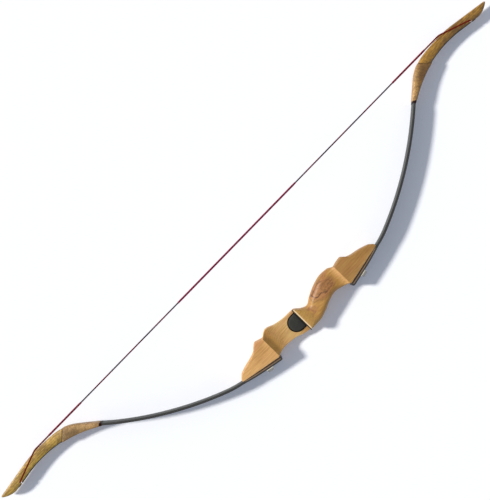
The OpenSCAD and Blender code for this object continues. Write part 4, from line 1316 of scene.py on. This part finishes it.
class BOW_OT_bolts(bpy.types.Operator):
    """Turn the limb bolts with chamfered heads and cut threads, and their washers"""
    bl_idname = "bow.bolts"
    bl_label = "Limb bolts"
    # How many points a ring has.
    around = 72

    def execute(self, context):
        s = settings().limbs
        nickel = metal_finish("nickel plate", s.nickel, darker(s.nickel, 0.7), 0.3)
        dull = metal_finish("dull nickel", s.head, darker(s.head, 0.6), 0.42)
        for side in (UPPER, LOWER):
            self.washer(side, nickel)
            self.bolt(side, dull)
        return {"FINISHED"}

    def row(self, radius, height):
        """A ring of points round the bolt's axis, whose radius and height can follow the angle."""
        points = []
        for j in range(self.around):
            a = 2 * pi * j / self.around
            r = radius(a) if callable(radius) else radius
            h = height(a) if callable(height) else height
            points.append(on_pad(r * cos(a), h, r * sin(a)))
        return points

    def washer(self, side, finish):
        """A ring with rounded outer edges and an eased hole."""
        name = SIDE_NAME[side]
        outer, inner, ease, top = WASHER_D / 2, BOLT_D / 2 + 0.3, 0.35, WASHER_T
        rows = ((inner, 0.0), (outer - ease, 0.0), (outer - ease * 0.3, ease * 0.3), (outer, ease),
                (outer, top - ease), (outer - ease * 0.3, top - ease * 0.3), (outer - ease, top),
                (inner + ease, top), (inner, top - ease))
        points = [p for r, h in rows for p in self.row(r, WASHER_SEAT + h)]
        faces = loft_faces(len(rows), self.around, joined=True)
        piece = build_piece(f"{name}_washer", points, faces, finish, side, welded=True)
        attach(dress(piece, "bolt_nickel", f"{name}_washer"), f"{name}_limb_washer")

    def bolt(self, side, finish):
        """A cut thread with a chamfered foot, a plain neck, and a chamfered and crowned hexagon head."""
        name = SIDE_NAME[side]
        seat, flat = WASHER_SEAT + WASHER_T + SEAT_GAP, HEAD_AF / 2
        top, land = seat + HEAD_H, flat - 0.45
        pitch, cut, chamfer, neck, steps = 1.25, 0.62, 0.6, 8.0, 5
        foot, crest, root, centre = -BUSH_LEN, BOLT_D / 2, BOLT_D / 2 - cut, 0.01

        def hexagon(a):
            """The reach of the head's sides at an angle."""
            return flat / cos((a + pi / 6) % (pi / 3) - pi / 6)

        def shoulder(a):
            """How high the sides go at an angle, under the head's chamfer."""
            return top - 0.15 - (hexagon(a) - land) * tan(radians(30))

        def thread(turn):
            """The thread's radius at an angle, some turns up from its foot."""
            def radius(a):
                phase = (turn - a / (2 * pi)) % 1.0
                return root + cut * min(1.0, 2.2 * min(phase, 1 - phase))
            return radius

        thread_end = seat - neck
        count = int((thread_end - foot - chamfer) / pitch * steps)
        rows = [(centre, foot), (root - chamfer, foot)]
        rows += [(thread(i / steps), foot + chamfer + i * pitch / steps) for i in range(count + 1)]
        rows += [(crest - 0.05, thread_end + 0.4), (crest - 0.05, seat), (flat - 0.8, seat),
                 (flat - 0.5, seat + 0.02), (hexagon, seat + 0.35), (hexagon, shoulder), (land, top - 0.15),
                 (flat - 1.0, top), (flat - 1.6, top + CROWN_T * 0.55), (flat * 0.4, top + CROWN_T * 0.95),
                 (centre, top + CROWN_T)]
        points = [p for radius, height in rows for p in self.row(radius, height)]
        faces = loft_faces(len(rows), self.around)
        piece = build_piece(f"{name}_bolt", points, faces, finish, side, smooth=28)
        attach(dress(piece, "bolt_nickel", f"{name}_bolt"), f"{name}_limb_bolt")


class BOW_OT_string(bpy.types.Operator):
    """Twist the string, serve its loops, ends and centre, and string the bow"""
    bl_idname = "bow.string"
    bl_label = "String"

    def execute(self, context):
        s = settings().string
        serving = thread_finish("serving thread", s.serving, darker(s.serving, 0.5), s.thread)
        end_serving = thread_finish("end serving thread", s.end_serving, darker(s.end_serving, 0.5), s.thread)
        looped = thread_finish("loop serving", s.loop, darker(s.loop, 0.45), s.thread)
        strands = [strand_finish("grey strands", s.grey, darker(s.grey, 0.6)),
                   strand_finish("maroon strands", s.maroon, darker(s.maroon, 0.6))]
        others = set(bpy.data.objects)
        for side in (UPPER, LOWER):
            self.twist(side, strands, s)
            self.loop(side, looped)
            self.end_serving(side, end_serving)
            self.centre_serving(side, serving)
        # The string in the photograph throws no shadow.
        for piece in set(bpy.data.objects) - others:
            piece.visible_shadow = False
        return {"FINISHED"}

    def twist(self, side, finishes, s):
        """Strands laid side by side round the string, one half of them in each colour."""
        name = SIDE_NAME[side]
        r, groove, per_strand, step = STRING_D / 2, 0.14, 4, 2.4
        around = s.strands * per_strand
        xs = evenly(LAP_LEN + 0.5, FORK_X - 3.0, step)
        points, grain = [], []
        for x in xs:
            turn = 2 * pi * x * MM / s.lay
            for j in range(around):
                a = 2 * pi * j / around + turn
                radius = r * (1 - groove + groove * abs(sin(pi * j / per_strand)))
                points.append((x, STRING_Y + radius * cos(a), MID_Z + radius * sin(a)))
                grain.append((x, radius * (a - turn), 0.0))
        faces = loft_faces(len(xs), around)
        tint = [0 if i % around < around // 2 else 1 for i in range(len(faces))]
        piece = build_piece(f"{name}_string", points, faces, finishes, side, grain, tint, smooth=80)
        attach(dress(piece, "string_cord", f"{name}_string"), f"{name}_string_half")

    def loop(self, side, finish):
        """Two strands that part at the fork, pass both sides of the tip and meet round the nock."""
        name = SIDE_NAME[side]
        inside, turn_r, bend, around = SERVING_START - 2.0, 3.0, 5.0, 14
        ahead = Vector((NOCK[0] - LANDING[0], NOCK[1] - STRING_Y, 0.0)).normalized()
        legs = {}
        for sign in (1, -1):
            before = Vector((NOCK[0], NOCK[1], 0.0)) - ahead * turn_r
            places = ((inside, STRING_Y, sign * LOOP_D / 4.6), (FORK_X, STRING_Y, sign * LOOP_D / 4),
                      (LANDING[0], STRING_Y, sign * STRAND_Z), (before.x, before.y, sign * STRAND_Z))
            legs[sign] = eased([Vector(place) for place in places], bend)
            centre = before + Vector((0, 0, sign * (STRAND_Z - turn_r)))
            for k in range(1, 8):
                a = pi / 2 * k / 7
                legs[sign].append(centre + ahead * turn_r * sin(a) + Vector((0, 0, sign * turn_r * cos(a))))
        path = [p + Vector((0, 0, MID_Z)) for p in legs[1] + list(reversed(legs[-1]))]
        travel, grain = 0.0, []
        for i, p in enumerate(path):
            travel += (p - path[i - 1]).length if i else 0.0
            grain += [(travel, pi * LOOP_D * j / around, 0.0) for j in range(around)]
        points = tube_rings(path, LOOP_D / 2, around, Vector((0, 1, 0)))
        faces = loft_faces(len(path), around)
        piece = build_piece(f"{name}_loop", points, faces, finish, side, grain, smooth=70)
        dress(piece, "serving_thread", f"{name}_loop")
        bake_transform(piece)

    def end_serving(self, side, finish):
        """Thread wound on the string beside its loop, drawn in at both ends."""
        name = SIDE_NAME[side]
        start, end = SERVING_START - END_SERVING_LEN, SERVING_START
        r, low, ease, spacing = SERVING_D / 2, STRING_D / 2 + SEAT_GAP + 0.15, 2.0, 8.0
        profile = [(start, low), (start + 0.4, r - 0.2), (start + ease, r)]
        profile += [(x, r) for x in evenly(start + spacing, end - spacing, spacing)]
        profile += [(end - ease, r), (end - 0.4, r - 0.2), (end, low)]
        self.served(f"{name}_end_serving", side, profile, finish)

    def centre_serving(self, side, finish):
        """The served middle: a full tube, with a short half-round lap against the other half's."""
        name, r, drawn_in = SIDE_NAME[side], SERVING_D / 2, 0.86
        full_from = 2.5 * LAP_OVER
        xs = evenly(full_from, CENTRE_SERVING_LEN, 6.0)
        profile = [(-LAP_OVER, r), (full_from, r)] + [(x, r) for x in xs[:-1]] + [(xs[-1], r * drawn_in)]
        self.served(f"{name}_centre_serving", side, profile, finish, halved=2)

    def served(self, name, side, profile, finish, halved=0):
        """Thread wound to a profile of (place, radius), whose first rings can be halved along the string."""
        around = 24
        points, grain = [], []
        for i, (x, radius) in enumerate(profile):
            for j in range(around):
                a = 2 * pi * j / around
                z = radius * sin(a)
                if i < halved:
                    z = min(z, -STRING_GAP / 2) if side == LOWER else max(z, STRING_GAP / 2)
                points.append((x, STRING_Y + radius * cos(a), MID_Z + z))
                grain.append((x, SERVING_D / 2 * a, 0.0))
        piece = build_piece(name, points, loft_faces(len(profile), around), finish, side, grain, smooth=50)
        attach(dress(piece, "serving_thread", name), f"{SIDE_NAME[side]}_string_half")


def eased(knots, reach):
    """A path through points with each bend rounded off over a short distance on both sides."""
    step, bend_steps = 4, 8
    path = [knots[0]]
    for before, here, after in zip(knots, knots[1:], knots[2:]):
        back, ahead = before - here, after - here
        start = here + back.normalized() * min(reach, back.length * 0.45)
        end = here + ahead.normalized() * min(reach, ahead.length * 0.45)
        count = max(1, round((start - path[-1]).length / step))
        path += [path[-1].lerp(start, k / count) for k in range(1, count)]
        for k in range(bend_steps + 1):
            t = k / bend_steps
            path.append(start * (1 - t) ** 2 + here * 2 * t * (1 - t) + end * t * t)
    count = max(1, round((knots[-1] - path[-1]).length / step))
    return path + [path[-1].lerp(knots[-1], k / count) for k in range(1, count + 1)]


class BOW_OT_fittings(bpy.types.Operator):
    """Finish the small fittings that keep their solids: bushes, pins and butt caps"""
    bl_idname = "bow.fittings"
    bl_label = "Fittings"

    def execute(self, context):
        brass = metal_finish("bush brass", (0.80, 0.66, 0.38), (0.52, 0.40, 0.22), 0.3, on_grain=False)
        steel = metal_finish("pin steel", (0.72, 0.73, 0.75), (0.5, 0.5, 0.5), 0.26, on_grain=False)
        black = black_finish("butt black", (0.10, 0.10, 0.105), (0.24, 0.24, 0.24))
        for node, slot, finish in (("limb_bushes", "bush_brass", brass),
                                   ("locating_pins", "pin_steel", steel), ("butt_caps", "butt_black", black)):
            solid = frame["nodes"][node]
            solid.data.materials.clear()
            solid.data.materials.append(finish)
        return {"FINISHED"}


# The camera looks straight down, and is turned so that the bow lies from corner to corner of its picture.
# Its turn is in degrees, and its place, its height over the bow and the picture's width are in metres.
CAMERA_TURN, CAMERA_OVER, CAMERA_HEIGHT, PICTURE_WIDTH = 134.26, (-0.0015, -0.1896), 2.3, 1.04


class BOW_OT_stage(bpy.types.Operator):
    """Set the floor, the light and the camera"""
    bl_idname = "bow.stage"
    bl_label = "Stage"

    def execute(self, context):
        s = settings().stage
        self.floor(s)
        self.surroundings(context, s)
        self.lamp(context, s)
        self.camera(context)
        context.scene.view_settings.view_transform = "Standard"
        return {"FINISHED"}

    def floor(self, s):
        """A wide sheet of pale paper, which to the camera alone glows a little."""
        half = 30.0
        mesh = bpy.data.meshes.new("floor")
        corners = ((-half, -half, 0), (half, -half, 0), (half, half, 0), (-half, half, 0))
        mesh.from_pydata(corners, [], [(0, 1, 2, 3)])
        floor = bpy.data.objects.new("floor", mesh)
        bpy.context.scene.collection.objects.link(floor)
        paper = Finish("floor paper", on_grain=False)
        tooth = paper.noise(paper.place, 420.0)
        paper.set(Base_Color=paper.mix(tooth, rgba(s.floor, 0.985), rgba(s.floor)), Roughness=0.9,
                  Specular_IOR_Level=0.1)
        glow, dark = paper.add("ShaderNodeEmission"), paper.add("ShaderNodeEmission")
        lit, both = paper.add("ShaderNodeMixShader"), paper.add("ShaderNodeAddShader")
        out = paper.tree.nodes["Material Output"]
        for socket, value in ((glow.inputs["Color"], rgba(s.glow)), (glow.inputs["Strength"], 1.0),
                              (dark.inputs["Strength"], 0.0), (lit.inputs[0], self.seen_only(paper.tree)),
                              (lit.inputs[1], dark.outputs[0]), (lit.inputs[2], glow.outputs[0]),
                              (both.inputs[0], paper.shader.outputs[0]), (both.inputs[1], lit.outputs[0]),
                              (out.inputs["Surface"], both.outputs[0])):
            paper.feed(socket, value)
        mesh.materials.append(paper.material)

    def seen_only(self, tree):
        """One for what the camera sees, straight or by a reflection or through glass, and zero for light."""
        rays = tree.nodes.new("ShaderNodeLightPath")
        share = rays.outputs["Is Camera Ray"]
        for kind in ("Is Glossy Ray", "Is Transmission Ray"):
            either = tree.nodes.new("ShaderNodeMath")
            either.operation = "MAXIMUM"
            tree.links.new(share, either.inputs[0])
            tree.links.new(rays.outputs[kind], either.inputs[1])
            share = either.outputs[0]
        return share

    def surroundings(self, context, s):
        """Soft light from all round, which the camera sees as white."""
        world = bpy.data.worlds.new("studio")
        world.use_nodes = True
        context.scene.world = world
        tree = world.node_tree
        fill, white = tree.nodes["Background"], tree.nodes.new("ShaderNodeBackground")
        for background, colour, strength in ((fill, rgba(s.sky), s.fill), (white, (1, 1, 1, 1), 1.0)):
            background.inputs["Color"].default_value = colour
            background.inputs["Strength"].default_value = strength
        mix = tree.nodes.new("ShaderNodeMixShader")
        for source, socket in ((self.seen_only(tree), mix.inputs[0]), (fill.outputs[0], mix.inputs[1]),
                               (white.outputs[0], mix.inputs[2]),
                               (mix.outputs[0], tree.nodes["World Output"].inputs["Surface"])):
            tree.links.new(source, socket)

    def lamp(self, context, s):
        """One lamp far off to the left of the picture."""
        lamp = bpy.data.lights.new("key", "SUN")
        lamp.energy = s.key
        lamp.angle = s.softness
        lamp.color = (1.0, 0.985, 0.95)
        key = bpy.data.objects.new("key", lamp)
        context.scene.collection.objects.link(key)
        turn, height = radians(CAMERA_TURN), s.key_height
        toward = Vector((-cos(turn) * cos(height), -sin(turn) * cos(height), sin(height)))
        key.rotation_euler = toward.to_track_quat("Z", "Y").to_euler()

    def camera(self, context):
        """A camera over the bow, whose picture is as wide as is set."""
        data = bpy.data.cameras.new("camera")
        data.sensor_fit = "AUTO"
        data.sensor_width = 36.0
        data.lens = data.sensor_width * CAMERA_HEIGHT / PICTURE_WIDTH
        camera = bpy.data.objects.new("camera", data)
        camera.location = (*CAMERA_OVER, CAMERA_HEIGHT + MID_Z * MM)
        camera.rotation_euler = (0.0, 0.0, radians(CAMERA_TURN))
        context.scene.collection.objects.link(camera)
        context.scene.camera = camera


PIECES = (BOW_OT_stage, BOW_OT_riser, BOW_OT_shelf, BOW_OT_limbs, BOW_OT_tips, BOW_OT_wraps, BOW_OT_bolts,
          BOW_OT_string, BOW_OT_fittings)


class BOW_PT_panel(bpy.types.Panel):
    """Lists the pieces of the bow and their settings"""
    bl_idname = "BOW_PT_panel"
    bl_label = "Recurve bow"
    bl_space_type = "VIEW_3D"
    bl_region_type = "UI"
    bl_category = "Bow"

    def draw(self, context):
        for piece in PIECES:
            self.layout.operator(piece.bl_idname, text=piece.bl_label)
        s = settings()
        for group in (s.edges, s.woods, s.limbs, s.string, s.stage):
            box = self.layout.box()
            for key in group.bl_rna.properties.keys():
                if key not in ("rna_type", "name"):
                    box.prop(group, key)


CLASSES = (BowEdges, BowWoods, BowLimbs, BowString, BowStage, BowSettings, *PIECES, BOW_PT_panel)


def register():
    """Adds the bow's settings, operators and panel."""
    for item in CLASSES:
        bpy.utils.register_class(item)
    bpy.types.Scene.bow = PointerProperty(type=BowSettings)


def unregister():
    """Takes them out again."""
    del bpy.types.Scene.bow
    for item in reversed(CLASSES):
        bpy.utils.unregister_class(item)


def main():
    """Builds the bow piece by piece."""
    register()
    for step in (bpy.ops.bow.stage, bpy.ops.bow.riser, bpy.ops.bow.shelf, bpy.ops.bow.limbs, bpy.ops.bow.tips,
                 bpy.ops.bow.wraps, bpy.ops.bow.bolts, bpy.ops.bow.string, bpy.ops.bow.fittings):
        step()


if __name__ == "__main__":
    main()
